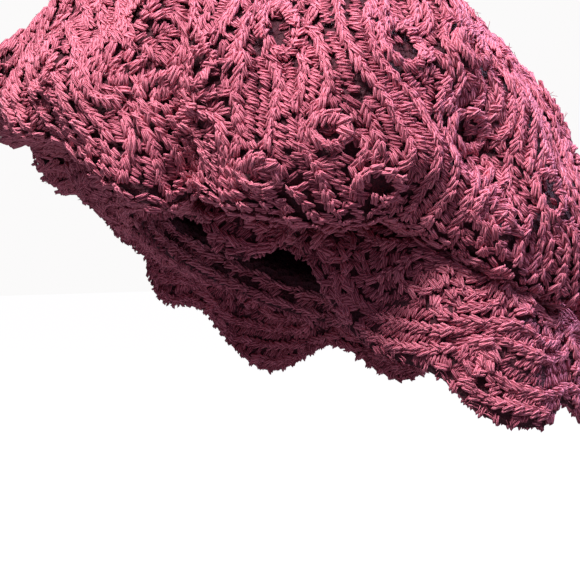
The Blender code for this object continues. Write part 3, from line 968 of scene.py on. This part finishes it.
class HatStitchSizes(bpy.types.PropertyGroup):
    """Sizes of the stitches."""

    line_spacing: length_property("Line spacing", "From one line of stitches to the next", 0.0061)
    line_step: length_property("Line step", "Step in which the lines are followed", 0.0018)
    rib_pitch: length_property("Rib pitch", "From one stitch of a rib to the next", 0.0062)
    rib_length: length_property("Rib strand length", "Length of a strand on a rib", 0.0102)
    rib_thickness: length_property("Rib strand thickness", "Thickness of a strand on a rib", 0.0037)
    rib_half_width: length_property("Rib half width", "From the rib's middle to a strand's", 0.0017)
    rib_height: length_property("Rib height", "How far a rib's strands stand over the others", 0.0017)
    ladder_pitch: length_property("Ladder pitch", "From one stitch between ribs to the next", 0.0043)
    ladder_length: length_property("Ladder strand length", "Length of a strand between ribs", 0.0092)
    ladder_thickness: length_property("Ladder strand thickness", "Thickness of a strand between ribs", 0.0036)
    lump_height: length_property("Lump height", "How far the cloth's lumps rise and sink", 0.0009)
    lump_width: length_property("Lump width", "From one lump of the cloth to the next", 0.019)
    rib_lean: number_property("Rib lean", "Turn of a rib's strands", math.radians(24), subtype="ANGLE")
    ladder_lean: number_property("Ladder lean", "Turn of the strands between", math.radians(58), subtype="ANGLE")
    rib_tip: number_property("Rib tip", "How much a rib's strands rise ahead", 0.16, subtype="ANGLE")
    rib_roll: number_property("Rib roll", "How much a rib's two strands fall off sideways", 0.25)
    unevenness: number_property("Unevenness", "How unevenly the strands are turned", 0.16, subtype="ANGLE")
    bare_gap: length_property("Bare gap", "How far apart loose strands fill the bare places", 0.0042)
    open_hollow: length_property("Open hollow", "How deep a hollow is that the strands leave open", 0.0030)
    fuzz: number_property("Fuzz", "Share of the strands with a loose fibre", 0.12, subtype="FACTOR")
    sag: length_property("Sag", "How far the stitches under the crown's roll sink to the ruffle", 0.0030)
    rib_share: number_property("Rib share", "A line is a rib if less of it is beside ribs", 0.5, subtype="FACTOR")
    gaps: number_property("Gaps", "Share of the strands between ribs that leave a hole", 0.06, subtype="FACTOR")


class HatColours(bpy.types.PropertyGroup):
    """Colours of the yarn and the stage."""

    # Ground is the yarn in painted shade between the stitches. Deep is the dark end of the yarn's colour, for random
    # dark fibres and for painted shade in the hollows. Light is the painted highlight where the plies catch the light,
    # and body the yarn's own colour.
    ground: colour_property("Ground", "Yarn deep between the stitches", "#421C27")
    deep: colour_property("Deep", "Yarn in the hollows", "#5A1B2B")
    body: colour_property("Body", "Yarn on the whole", "#A94A60")
    light: colour_property("Light", "Yarn where the plies catch the light", "#F08C9F")
    floor: colour_property("Floor", "Floor and backdrop", "#FBFAFA")
    shade: colour_property("Shade", "Light from all round and behind", "#DADCFF")


class HatStageSizes(bpy.types.PropertyGroup):
    """The stage."""

    floor_depth: length_property("Floor depth", "How far the floor is below the head opening", 0.42)
    key_power: number_property("Key power", "Main light", 42.0, unit="POWER")
    fill_power: number_property("Fill power", "Second light", 8.0, unit="POWER")
    back_power: number_property("Back power", "Light from behind", 34.0, unit="POWER")
    room_light: number_property("Room light", "Light from all round", 0.19)


def add_node(tree, kind, inputs=None, **settings):
    """Adds a node with its settings, and with values or links for its inputs."""
    node = tree.nodes.new(kind)
    for name, value in settings.items():
        setattr(node, name, value)
    for socket, value in (inputs or {}).items():
        if isinstance(value, bpy.types.NodeSocket):
            tree.links.new(value, node.inputs[socket])
        else:
            node.inputs[socket].default_value = value
    return node


def plied_acrylic_yarn(colours):
    """Plied acrylic wool yarn, spun: a matt, fuzzy strand whose twisted plies catch the light as fine lines."""
    material = bpy.data.materials.new("plied_acrylic_yarn")
    material.use_nodes = True
    tree = material.node_tree
    uv = add_node(tree, "ShaderNodeUVMap", uv_map="UVMap").outputs["UV"]
    place = add_node(tree, "ShaderNodeTexCoord").outputs["Object"]
    # The tone attribute holds each strand's random tone and its painted shade by kind and depth.
    tone = add_node(tree, "ShaderNodeAttribute", attribute_name="tone").outputs["Fac"]
    # Four fine plies lie 1.7 mm apart round the strand, and slant across it by three of them along its length. Their
    # crests are painted lighter and the grooves between them darker, as painted highlight and shade, on top of the
    # bump they give.
    twist = add_node(tree, "ShaderNodeVectorMath", {0: uv, 1: (4.0, 3.0, 0.0)}, operation="DOT_PRODUCT")
    turns = add_node(tree, "ShaderNodeMath", {0: twist.outputs["Value"], 1: 2 * math.pi}, operation="MULTIPLY")
    wave = add_node(tree, "ShaderNodeMath", {0: turns.outputs[0]}, operation="SINE")
    plies = add_node(tree, "ShaderNodeMath", {0: wave.outputs[0], 1: 0.5, 2: 0.5}, operation="MULTIPLY_ADD")
    # Fibres bunch up every 1.2 mm, and the dye differs over patches of about 30 mm.
    fibres = add_node(tree, "ShaderNodeTexNoise", {"Vector": place, "Scale": 850.0, "Detail": 2.0})
    patches = add_node(tree, "ShaderNodeTexNoise", {"Vector": place, "Scale": 34.0, "Detail": 2.0})
    # Painted shade: a strand is painted darkest where it dips into the cloth, towards its ends.
    along = add_node(tree, "ShaderNodeSeparateXYZ", {0: uv}).outputs["Y"]
    rest = add_node(tree, "ShaderNodeMath", {0: 1.0, 1: along}, operation="SUBTRACT")
    arch = add_node(tree, "ShaderNodeMath", {0: along, 1: rest.outputs[0]}, operation="MULTIPLY")
    shade = add_node(tree, "ShaderNodeMath", {0: arch.outputs[0], 1: 1.5, 2: -0.42}, operation="MULTIPLY_ADD")
    parts = ((tone, 0.70), (plies.outputs[0], 0.75), (fibres.outputs["Fac"], 0.55), (patches.outputs["Fac"], 0.30))
    for part, share in parts:
        inputs = {0: part, 1: share, 2: shade.outputs[0]}
        shade = add_node(tree, "ShaderNodeMath", inputs, operation="MULTIPLY_ADD")
    low = add_node(tree, "ShaderNodeMapRange", {"Value": shade.outputs[0], "From Min": 0.20, "From Max": 1.05})
    high = add_node(tree, "ShaderNodeMapRange", {"Value": shade.outputs[0], "From Min": 0.95, "From Max": 1.55})
    # The colour runs from deep, the dark end for random fibres and for painted shade, through body, the yarn's own
    # colour, to light, the painted highlight.
    deep, body, light = ((*colour, 1.0) for colour in (colours.deep, colours.body, colours.light))
    dark = add_node(tree, "ShaderNodeMix", {0: low.outputs[0], 6: deep, 7: body}, data_type="RGBA")
    whole = add_node(tree, "ShaderNodeMix", {0: high.outputs[0], 6: dark.outputs[2], 7: light}, data_type="RGBA")
    bump = add_node(tree, "ShaderNodeBump", {"Height": shade.outputs[0], "Strength": 0.7, "Distance": 0.0008})
    matt_and_fuzzy(tree, whole.outputs[2], bump.outputs["Normal"], colours.light)
    return material


def matt_and_fuzzy(tree, colour, normal, glow):
    """Sets the shader for spun yarn: rough, with the soft glow that loose fibres give at a slant."""
    shader = tree.nodes["Principled BSDF"]
    tree.links.new(colour, shader.inputs["Base Color"])
    tree.links.new(normal, shader.inputs["Normal"])
    shader.inputs["Roughness"].default_value = 0.78
    shader.inputs["IOR"].default_value = 1.49
    shader.inputs["Specular IOR Level"].default_value = 0.35
    shader.inputs["Sheen Weight"].default_value = 0.30
    shader.inputs["Sheen Roughness"].default_value = 0.45
    shader.inputs["Sheen Tint"].default_value = (*glow, 1.0)


def yarn_ground_painted_shade(colours):
    """The same yarn where it lies deep between the stitches: matt and loopy, and painted dark as the shade that falls
    there.
    """
    material = bpy.data.materials.new("yarn_ground_painted_shade")
    material.use_nodes = True
    tree = material.node_tree
    place = add_node(tree, "ShaderNodeTexCoord").outputs["Object"]
    # Loops lie 4.5 mm apart, and their plies are 1.3 mm thick.
    loops = add_node(tree, "ShaderNodeTexVoronoi", {"Vector": place, "Scale": 220.0})
    plies = add_node(tree, "ShaderNodeTexNoise", {"Vector": place, "Scale": 760.0, "Detail": 2.0})
    inputs = {0: plies.outputs["Fac"], 1: 0.6, 2: loops.outputs["Distance"]}
    height = add_node(tree, "ShaderNodeMath", inputs, operation="MULTIPLY_ADD")
    # Both colours are painted shade, the yarn darkened where it lies between the stitches.
    dark, deep = ((*colour, 1.0) for colour in (colours.ground, colours.deep))
    share = add_node(tree, "ShaderNodeMapRange", {"Value": height.outputs[0], "From Min": 0.5, "From Max": 1.5})
    whole = add_node(tree, "ShaderNodeMix", {0: share.outputs[0], 6: dark, 7: deep}, data_type="RGBA")
    bump = add_node(tree, "ShaderNodeBump", {"Height": height.outputs[0], "Strength": 1.0, "Distance": 0.003})
    matt_and_fuzzy(tree, whole.outputs[2], bump.outputs["Normal"], colours.deep)
    return material


def painted_floor(colours):
    """Matt emulsion on a smooth floor, rolled on: even and pale, with the faintest mottle."""
    material = bpy.data.materials.new("matt_emulsion_floor")
    material.use_nodes = True
    tree = material.node_tree
    shader = tree.nodes["Principled BSDF"]
    place = add_node(tree, "ShaderNodeTexCoord").outputs["Object"]
    mottle = add_node(tree, "ShaderNodeTexNoise", {"Vector": place, "Scale": 3.0})
    near, far = ((*(share * value for value in colours.floor), 1.0) for share in (0.20, 0.21))
    whole = add_node(tree, "ShaderNodeMix", {0: mottle.outputs["Fac"], 6: near, 7: far}, data_type="RGBA")
    tree.links.new(whole.outputs[2], shader.inputs["Base Color"])
    shader.inputs["Roughness"].default_value = 0.9
    # It glows for the picture alone, so that it stays white and throws little light up at the hat.
    seen = add_node(tree, "ShaderNodeLightPath").outputs["Is Camera Ray"]
    shader.inputs["Emission Color"].default_value = (*colours.floor, 1.0)
    tree.links.new(seen, shader.inputs["Emission Strength"])
    return material


YARNS = (yarn_ground_painted_shade, plied_acrylic_yarn)


def sizes_and_yarns(scene):
    """The sizes of the stitches, and the materials of the cloth and of the strands, made when first asked for."""
    made = [bpy.data.materials.get(make.__name__) or make(scene.hat_colours) for make in YARNS]
    return scene.hat_stitches, *made


def mesh_of(bm, name):
    """The finished bmesh as a mesh."""
    mesh = bpy.data.meshes.new(name)
    bm.to_mesh(mesh)
    bm.free()
    return mesh


def in_scene(name, data):
    """A new object in the scene."""
    made = bpy.data.objects.new(name, data)
    bpy.context.scene.collection.objects.link(made)
    return made


def place_ring(verts, points):
    """Moves a ring's vertices to the points."""
    for vert, point in zip(verts, points):
        vert.co = point


def next_ring(bm, ring):
    """Extrudes a closed ring of vertices and gives the new ring, in the same order."""
    edges = [bm.edges.get((vert, ring[i - 1])) for i, vert in enumerate(ring)]
    made = bmesh.ops.extrude_edge_only(bm, edges=edges)["geom"]
    new_verts = {item for item in made if isinstance(item, bmesh.types.BMVert)}
    return [
        next(edge.other_vert(vert) for edge in vert.link_edges if edge.other_vert(vert) in new_verts)
        for vert in ring
    ]


def start_ring(bm, columns, cap):
    """A circle of vertices, in order round the axis, filled to its centre if it is capped."""
    made = bmesh.ops.create_circle(bm, cap_ends=cap, cap_tris=cap, segments=columns, radius=1.0)
    circle = [vert for vert in made["verts"] if any(vert.co)]
    return sorted(circle, key=lambda vert: math.atan2(vert.co.x, -vert.co.y) % (2 * math.pi))


def place_piece(name, mesh, material):
    """A finished piece in the scene, at the origin and riding on the hat's one body."""
    mesh.name = name
    mesh.shade_smooth()
    mesh.materials.clear()
    mesh.materials.append(material)
    piece = in_scene(name, mesh)
    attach(piece, "root")
    return piece


def finished_mesh(obj):
    """The object's mesh with its modifiers applied. The object itself is removed."""
    graph = bpy.context.evaluated_depsgraph_get()
    mesh = bpy.data.meshes.new_from_object(obj.evaluated_get(graph), depsgraph=graph)
    bpy.data.objects.remove(obj)
    return mesh


def make_cloth(name, points, wall, sink, top, material):
    """A closed wall of cloth over rings of points, sunk under the stitches, and closed at the top's height."""
    across = np.roll(points, -1, axis=1) - np.roll(points, 1, axis=1)
    normals = unit(np.cross(np.gradient(points, axis=0), across))
    points = points - normals * np.asarray(sink)[..., None]
    bm = bmesh.new()
    ring = start_ring(bm, points.shape[1], cap=top is not None)
    if top is not None:
        centre = (set(bm.verts) - set(ring)).pop()
        centre.co = (0.0, 0.0, top)
    place_ring(ring, points[0])
    for row in points[1:]:
        ring = next_ring(bm, ring)
        place_ring(ring, row)
    bmesh.ops.recalc_face_normals(bm, faces=bm.faces)
    draft = in_scene(name + "_draft", mesh_of(bm, name))
    solid = draft.modifiers.new("wall", "SOLIDIFY")
    solid.thickness = wall
    solid.offset = 0.0
    return place_piece(name, finished_mesh(draft), material)


def make_strand():
    """One strand of yarn of unit length: a tapered tube that arches out of the cloth and dips back into it."""
    bm = bmesh.new()
    bm.loops.layers.uv.new("UVMap")
    bmesh.ops.create_uvsphere(bm, u_segments=4, v_segments=3, radius=0.5, calc_uvs=True)
    bmesh.ops.rotate(bm, verts=bm.verts, matrix=Matrix.Rotation(math.pi / 2, 3, "Y"))
    for vert in bm.verts:
        if abs(vert.co.x) < 0.4:
            vert.co.x *= STRAND_SHOULDERS
            vert.co.y *= STRAND_FULLNESS
            vert.co.z *= STRAND_FULLNESS
        vert.co.z -= STRAND_ARCH * vert.co.x**2
    return bpy.data.objects.new("strand", mesh_of(bm, "strand"))


def strands_on_points(strand):
    """A node group that sets a strand on each point, turned and sized, and makes them one mesh."""
    tree = bpy.data.node_groups.new("strands_on_points", "GeometryNodeTree")
    tree.interface.new_socket("Geometry", in_out="INPUT", socket_type="NodeSocketGeometry")
    tree.interface.new_socket("Geometry", in_out="OUTPUT", socket_type="NodeSocketGeometry")
    points = add_node(tree, "NodeGroupInput").outputs[0]
    source = add_node(tree, "GeometryNodeObjectInfo", {"Object": strand}).outputs["Geometry"]
    turn = add_node(tree, "GeometryNodeInputNamedAttribute", {"Name": "turn"}, data_type="QUATERNION")
    size = add_node(tree, "GeometryNodeInputNamedAttribute", {"Name": "size"}, data_type="FLOAT_VECTOR")
    inputs = {
        "Points": points,
        "Instance": source,
        "Rotation": turn.outputs["Attribute"],
        "Scale": size.outputs["Attribute"],
    }
    placed = add_node(tree, "GeometryNodeInstanceOnPoints", inputs)
    joined = add_node(tree, "GeometryNodeRealizeInstances", {"Geometry": placed.outputs["Instances"]})
    add_node(tree, "NodeGroupOutput", {0: joined.outputs["Geometry"]})
    return tree


def make_stitches(name, strands, material):
    """One piece of many strands."""
    bm = bmesh.new()
    for point in strands.points:
        bmesh.ops.create_vert(bm, co=point)
    mesh = mesh_of(bm, name)
    turn = mesh.attributes.new("turn", "QUATERNION", "POINT")
    turn.data.foreach_set("value", quaternions(strands.frames).ravel())
    size = mesh.attributes.new("size", "FLOAT_VECTOR", "POINT")
    size.data.foreach_set("vector", strands.sizes.ravel())
    # Each strand's tone, random and with painted shade by kind and depth, goes to the yarn's colour.
    tone = mesh.attributes.new("tone", "FLOAT", "POINT")
    tone.data.foreach_set("value", strands.tones)
    draft = in_scene(name + "_draft", mesh)
    strand = make_strand()
    draft.modifiers.new("strands", "NODES").node_group = strands_on_points(strand)
    piece = place_piece(name, finished_mesh(draft), material)
    bpy.data.objects.remove(strand)
    return piece


def starts_over(fabric, rows, columns):
    """Places where lines start, spread over the fabric."""
    across = fabric.field.shape[1]
    rings = [fabric.first + (fabric.last - fabric.first) * (i + 0.5) / rows for i in range(rows)]
    return [(ring, (j + 0.5 * (i % 2)) * across / columns) for i, ring in enumerate(rings) for j in range(columns)]


def meandering(row, angle, down):
    """How far one meander turns the lines at each azimuth and each share of the way down."""
    return row.turn * np.sin(row.around * angle + row.down * down + row.start)


def crown_turn(points):
    """Lines run round the top like the first rounds, then from the top to the band, meandering."""
    angle = azimuths(points.shape[1])[None, :]
    down = np.linspace(0, 1, len(points))[:, None]
    turn = sum(meandering(row, angle, down) for row in CROWN_MEANDERS)
    aside = (angle - FRONT_TURN_AZIMUTH + math.pi) % (2 * math.pi) - math.pi
    turn = turn - FRONT_TURN * np.exp(-((aside / FRONT_TURN_WIDTH) ** 2))
    radius = np.hypot(points[..., 0], points[..., 1])
    rounds = math.pi / 2 * np.clip((ROUNDS_RADIUS - radius) / ROUNDS_FADE, 0, 1)
    return turn * (1 - rounds / (math.pi / 2)) + rounds


def ruffle_turn(points):
    """Lines run round the ruffle like its rows, with a slow meander."""
    angle = azimuths(points.shape[1])[None, :]
    down = np.linspace(0, 1, len(points))[:, None]
    return math.pi / 2 + meandering(RUFFLE_MEANDER, angle, down)


def edge_shells(fabric, rng):
    """A row of small shells along the ruffle's edge, whose strands fan out and in again."""
    edge = fabric.field[-1]
    steps = np.linalg.norm(np.roll(edge[:, POINT], -1, axis=0) - edge[:, POINT], axis=-1)
    walked = np.concatenate([[0], np.cumsum(steps)])
    count = int(walked[-1] / SHELL_STEP)
    way = np.linspace(0, walked[-1], count, endpoint=False)
    middles = np.interp(way, walked, np.arange(len(walked)))
    data = read(fabric, np.full(count, fabric.field.shape[0] - 1.0), middles)
    inner = read(fabric, np.full(count, fabric.field.shape[0] - 3.0), middles)
    outward, normal = unit(data[:, POINT] - inner[:, POINT]), unit(data[:, NORMAL])
    sideways = np.cross(normal, outward)
    phase = 2 * math.pi * round(walked[-1] / SHELL_WIDTH) * way / walked[-1]
    turn = -0.9 * np.sin(phase) + rng.normal(0, 0.25, count)
    ahead = outward * np.cos(turn)[:, None] + sideways * np.sin(turn)[:, None]
    out = 0.0010 * np.cos(phase) - 0.0026 + rng.normal(0, 0.0005, count)
    points = data[:, POINT] + outward * out[:, None] + normal * rng.normal(0, 0.0012, (count, 1))
    frames = np.stack([ahead, np.cross(normal, ahead), normal], axis=-1)
    sizes = np.tile(SHELL_STRAND, (count, 1))
    return two_by_two(Strands(points, frames, sizes, rng.normal(0.5, 0.15, count)), rng)


def quarter_of(points):
    """Which quarter of the hat each point is in: front, left, back or right."""
    azimuth = np.degrees(np.arctan2(points[:, 0], -points[:, 1]))
    return ((azimuth + 45) // 90 % 4).astype(int)


QUARTERS = ("front", "left", "back", "right")


def stitches_by_quarter(name, strands, material):
    """A piece of stitches for each quarter of the hat, so that none grows too large."""
    quarters = quarter_of(strands.points)
    pieces = []
    for i, quarter in enumerate(QUARTERS):
        piece = make_stitches(f"{name}_{quarter}", pick_strands(strands, quarters == i), material)
        pieces.append(piece)
    return pieces


class HAT_OT_crown(bpy.types.Operator):
    """Makes the crown's cloth and its stitches"""

    bl_idname = "hat.crown"
    bl_label = "Crown"

    def execute(self, context):
        look, ground, yarn = sizes_and_yarns(context.scene)
        points = surface(crown_points, CROWN_CLOTH_COLUMNS, CROWN_CLOTH_RINGS)
        sink = CROWN_CLOTH_SINK - sagging(len(points), look.sag)
        cloth = make_cloth("crown_cloth", points, CROWN_CLOTH_WALL, sink, CROWN_HEIGHT - CROWN_CLOTH_SINK, ground)
        points = surface(crown_points, FINE_COLUMNS, CROWN_FINE_RINGS)
        fabric = make_fabric(points, CROWN_OVALS, crown_turn(points), look, last_gap=4, sag=look.sag)
        rings = oval_rings(fabric, CROWN_OVALS, look.line_step)
        lines = grow_lines(fabric, starts_over(fabric, *CROWN_STARTS), rings, look)
        strands = lay_strands(fabric, lines, look, CROWN_STRANDS_OUT, np.random.default_rng(CROWN_SEED))
        stitches = stitches_by_quarter("crown_stitches", strands, yarn)
        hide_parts("crown")
        return {"FINISHED"}


class HAT_OT_band(bpy.types.Operator):
    """Makes the head band's cloth and its stitches"""

    bl_idname = "hat.band"
    bl_label = "Head band"

    def execute(self, context):
        look, ground, yarn = sizes_and_yarns(context.scene)
        points = surface(band_points, BAND_CLOTH_COLUMNS, BAND_CLOTH_RINGS)
        cloth = make_cloth("head_band_cloth", points, BAND_CLOTH_WALL, 0.0, None, ground)
        points = surface(band_points, FINE_COLUMNS, BAND_FINE_RINGS)
        rng = np.random.default_rng(BAND_SEED)
        turn = np.full(points.shape[:2], math.pi / 2)
        sides = []
        for side in (1.0, -1.0):
            fabric = make_fabric(points, (), turn, look, side=side, first=0, last_gap=0)
            lines = grow_lines(fabric, starts_over(fabric, *BAND_STARTS), [], look)
            sides.append(lay_strands(fabric, lines, look, BAND_STRANDS_OUT, rng))
        stitches = make_stitches("head_band_stitches", join_strands(*sides), yarn)
        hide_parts("head_band")
        return {"FINISHED"}


class HAT_OT_ruffle(bpy.types.Operator):
    """Makes the ruffle's cloth, the stitches on both its sides and the shells along its edge"""

    bl_idname = "hat.ruffle"
    bl_label = "Ruffle"

    def execute(self, context):
        look, ground, yarn = sizes_and_yarns(context.scene)
        points = surface(ruffle_points, RUFFLE_CLOTH_COLUMNS, RUFFLE_CLOTH_RINGS)
        cloth = make_cloth("ruffle_cloth", points, RUFFLE_CLOTH_WALL, 0.0, None, ground)
        points = surface(ruffle_points, FINE_COLUMNS, RUFFLE_FINE_RINGS)
        rng = np.random.default_rng(RUFFLE_SEED)
        turn = ruffle_turn(points)
        for side, name in ((1.0, "ruffle_stitches_top"), (-1.0, "ruffle_stitches_under")):
            fabric = make_fabric(points, RUFFLE_OVALS, turn, look, side=side)
            rings = oval_rings(fabric, RUFFLE_OVALS, look.line_step)
            lines = grow_lines(fabric, starts_over(fabric, *RUFFLE_STARTS), rings, look)
            piece = make_stitches(name, lay_strands(fabric, lines, look, RUFFLE_STRANDS_OUT, rng), yarn)
        fabric = make_fabric(points, (), turn, look, first=0, last_gap=0)
        shells = make_stitches("ruffle_edge_shells", edge_shells(fabric, rng), yarn)
        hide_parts("ruffle")
        return {"FINISHED"}


# The photograph's view: where the camera stands round the hat, how high it looks down, and how far it is.
VIEW_AZIMUTH = math.radians(48.0)
VIEW_HEIGHT = math.radians(2.0)
VIEW_DISTANCE = 1.05
PICTURE_POINTS = 580
POINT_SIZE = 0.00072
ASIDE_POINTS = 20
BELOW_POINTS = 29
SENSOR = 36.0


def way_out(azimuth, height):
    """The direction out from the hat at an azimuth and a height."""
    return Vector((math.sin(azimuth) * math.cos(height), -math.cos(azimuth) * math.cos(height), math.sin(height)))


def set_looking_back(obj, place, way):
    """Sets a camera or a light at the place, looking the other way."""
    obj.matrix_world = Matrix.Translation(place) @ way.to_track_quat("Z", "Y").to_matrix().to_4x4()


def add_camera():
    """The photograph's camera, whose picture is so many points of that size across at the hat's middle."""
    back = way_out(VIEW_AZIMUTH, VIEW_HEIGHT)
    right = Vector((0, 0, 1)).cross(back).normalized()
    data = bpy.data.cameras.new("camera")
    data.sensor_width = SENSOR
    data.lens = SENSOR * VIEW_DISTANCE / (PICTURE_POINTS * POINT_SIZE)
    camera = in_scene("camera", data)
    target = right * (ASIDE_POINTS * POINT_SIZE) - back.cross(right) * (BELOW_POINTS * POINT_SIZE)
    set_looking_back(camera, target + back * VIEW_DISTANCE, back)
    bpy.context.scene.camera = camera


def add_light(name, azimuth, height, distance, size, power, colour=(1.0, 1.0, 1.0)):
    """A square soft light that looks at the hat from an azimuth and a height, in degrees."""
    way = way_out(math.radians(azimuth), math.radians(height))
    data = bpy.data.lights.new(name, "AREA")
    data.size = size
    data.energy = power
    data.color = colour
    set_looking_back(in_scene(name, data), way * distance, way)


class HAT_OT_stage(bpy.types.Operator):
    """Makes the floor, the lights and the camera"""

    bl_idname = "hat.stage"
    bl_label = "Stage"

    def execute(self, context):
        sizes, colours = context.scene.hat_stage, context.scene.hat_colours
        bm = bmesh.new()
        bmesh.ops.create_grid(bm, x_segments=8, y_segments=8, size=9.0)
        bmesh.ops.translate(bm, verts=bm.verts, vec=(0, 0, -sizes.floor_depth))
        floor = in_scene("floor", mesh_of(bm, "floor"))
        floor.data.materials.append(painted_floor(colours))
        world = bpy.data.worlds.new("studio")
        world.use_nodes = True
        backdrop = world.node_tree.nodes["Background"]
        seen = add_node(world.node_tree, "ShaderNodeLightPath").outputs["Is Camera Ray"]
        dim = (*(sizes.room_light * value for value in colours.shade), 1.0)
        inputs = {0: seen, 6: dim, 7: (*colours.floor, 1.0)}
        level = add_node(world.node_tree, "ShaderNodeMix", inputs, data_type="RGBA")
        world.node_tree.links.new(level.outputs[2], backdrop.inputs["Color"])
        context.scene.world = world
        add_light("key_light", 28, 54, 1.6, 0.50, sizes.key_power)
        add_light("fill_light", 105, 58, 1.9, 0.8, sizes.fill_power, colours.shade)
        add_light("back_light", 165, 45, 1.6, 0.7, sizes.back_power, colours.shade)
        add_camera()
        context.scene.view_settings.view_transform = "Standard"
        return {"FINISHED"}


class HAT_PT_panel(bpy.types.Panel):
    """Lists the hat's pieces, sizes and colours"""

    bl_label = "Crochet ruffle hat"
    bl_idname = "HAT_PT_panel"
    bl_space_type = "VIEW_3D"
    bl_region_type = "UI"
    bl_category = "Hat"

    def draw(self, context):
        for group in (context.scene.hat_stitches, context.scene.hat_colours, context.scene.hat_stage):
            box = self.layout.box()
            for name in group.__annotations__:
                box.prop(group, name)
        for operator in OPERATORS:
            self.layout.operator(operator.bl_idname)


GROUPS = (HatStitchSizes, HatColours, HatStageSizes)
OPERATORS = (HAT_OT_crown, HAT_OT_band, HAT_OT_ruffle, HAT_OT_stage)


def register():
    for cls in (*GROUPS, *OPERATORS, HAT_PT_panel):
        bpy.utils.register_class(cls)
    bpy.types.Scene.hat_stitches = bpy.props.PointerProperty(type=HatStitchSizes)
    bpy.types.Scene.hat_colours = bpy.props.PointerProperty(type=HatColours)
    bpy.types.Scene.hat_stage = bpy.props.PointerProperty(type=HatStageSizes)


def unregister():
    del bpy.types.Scene.hat_stage, bpy.types.Scene.hat_colours, bpy.types.Scene.hat_stitches
    for cls in reversed((*GROUPS, *OPERATORS, HAT_PT_panel)):
        bpy.utils.unregister_class(cls)


def main():
    register()
    bpy.ops.hat.crown()
    bpy.ops.hat.band()
    bpy.ops.hat.ruffle()
    bpy.ops.hat.stage()


if __name__ == "__main__":
    main()
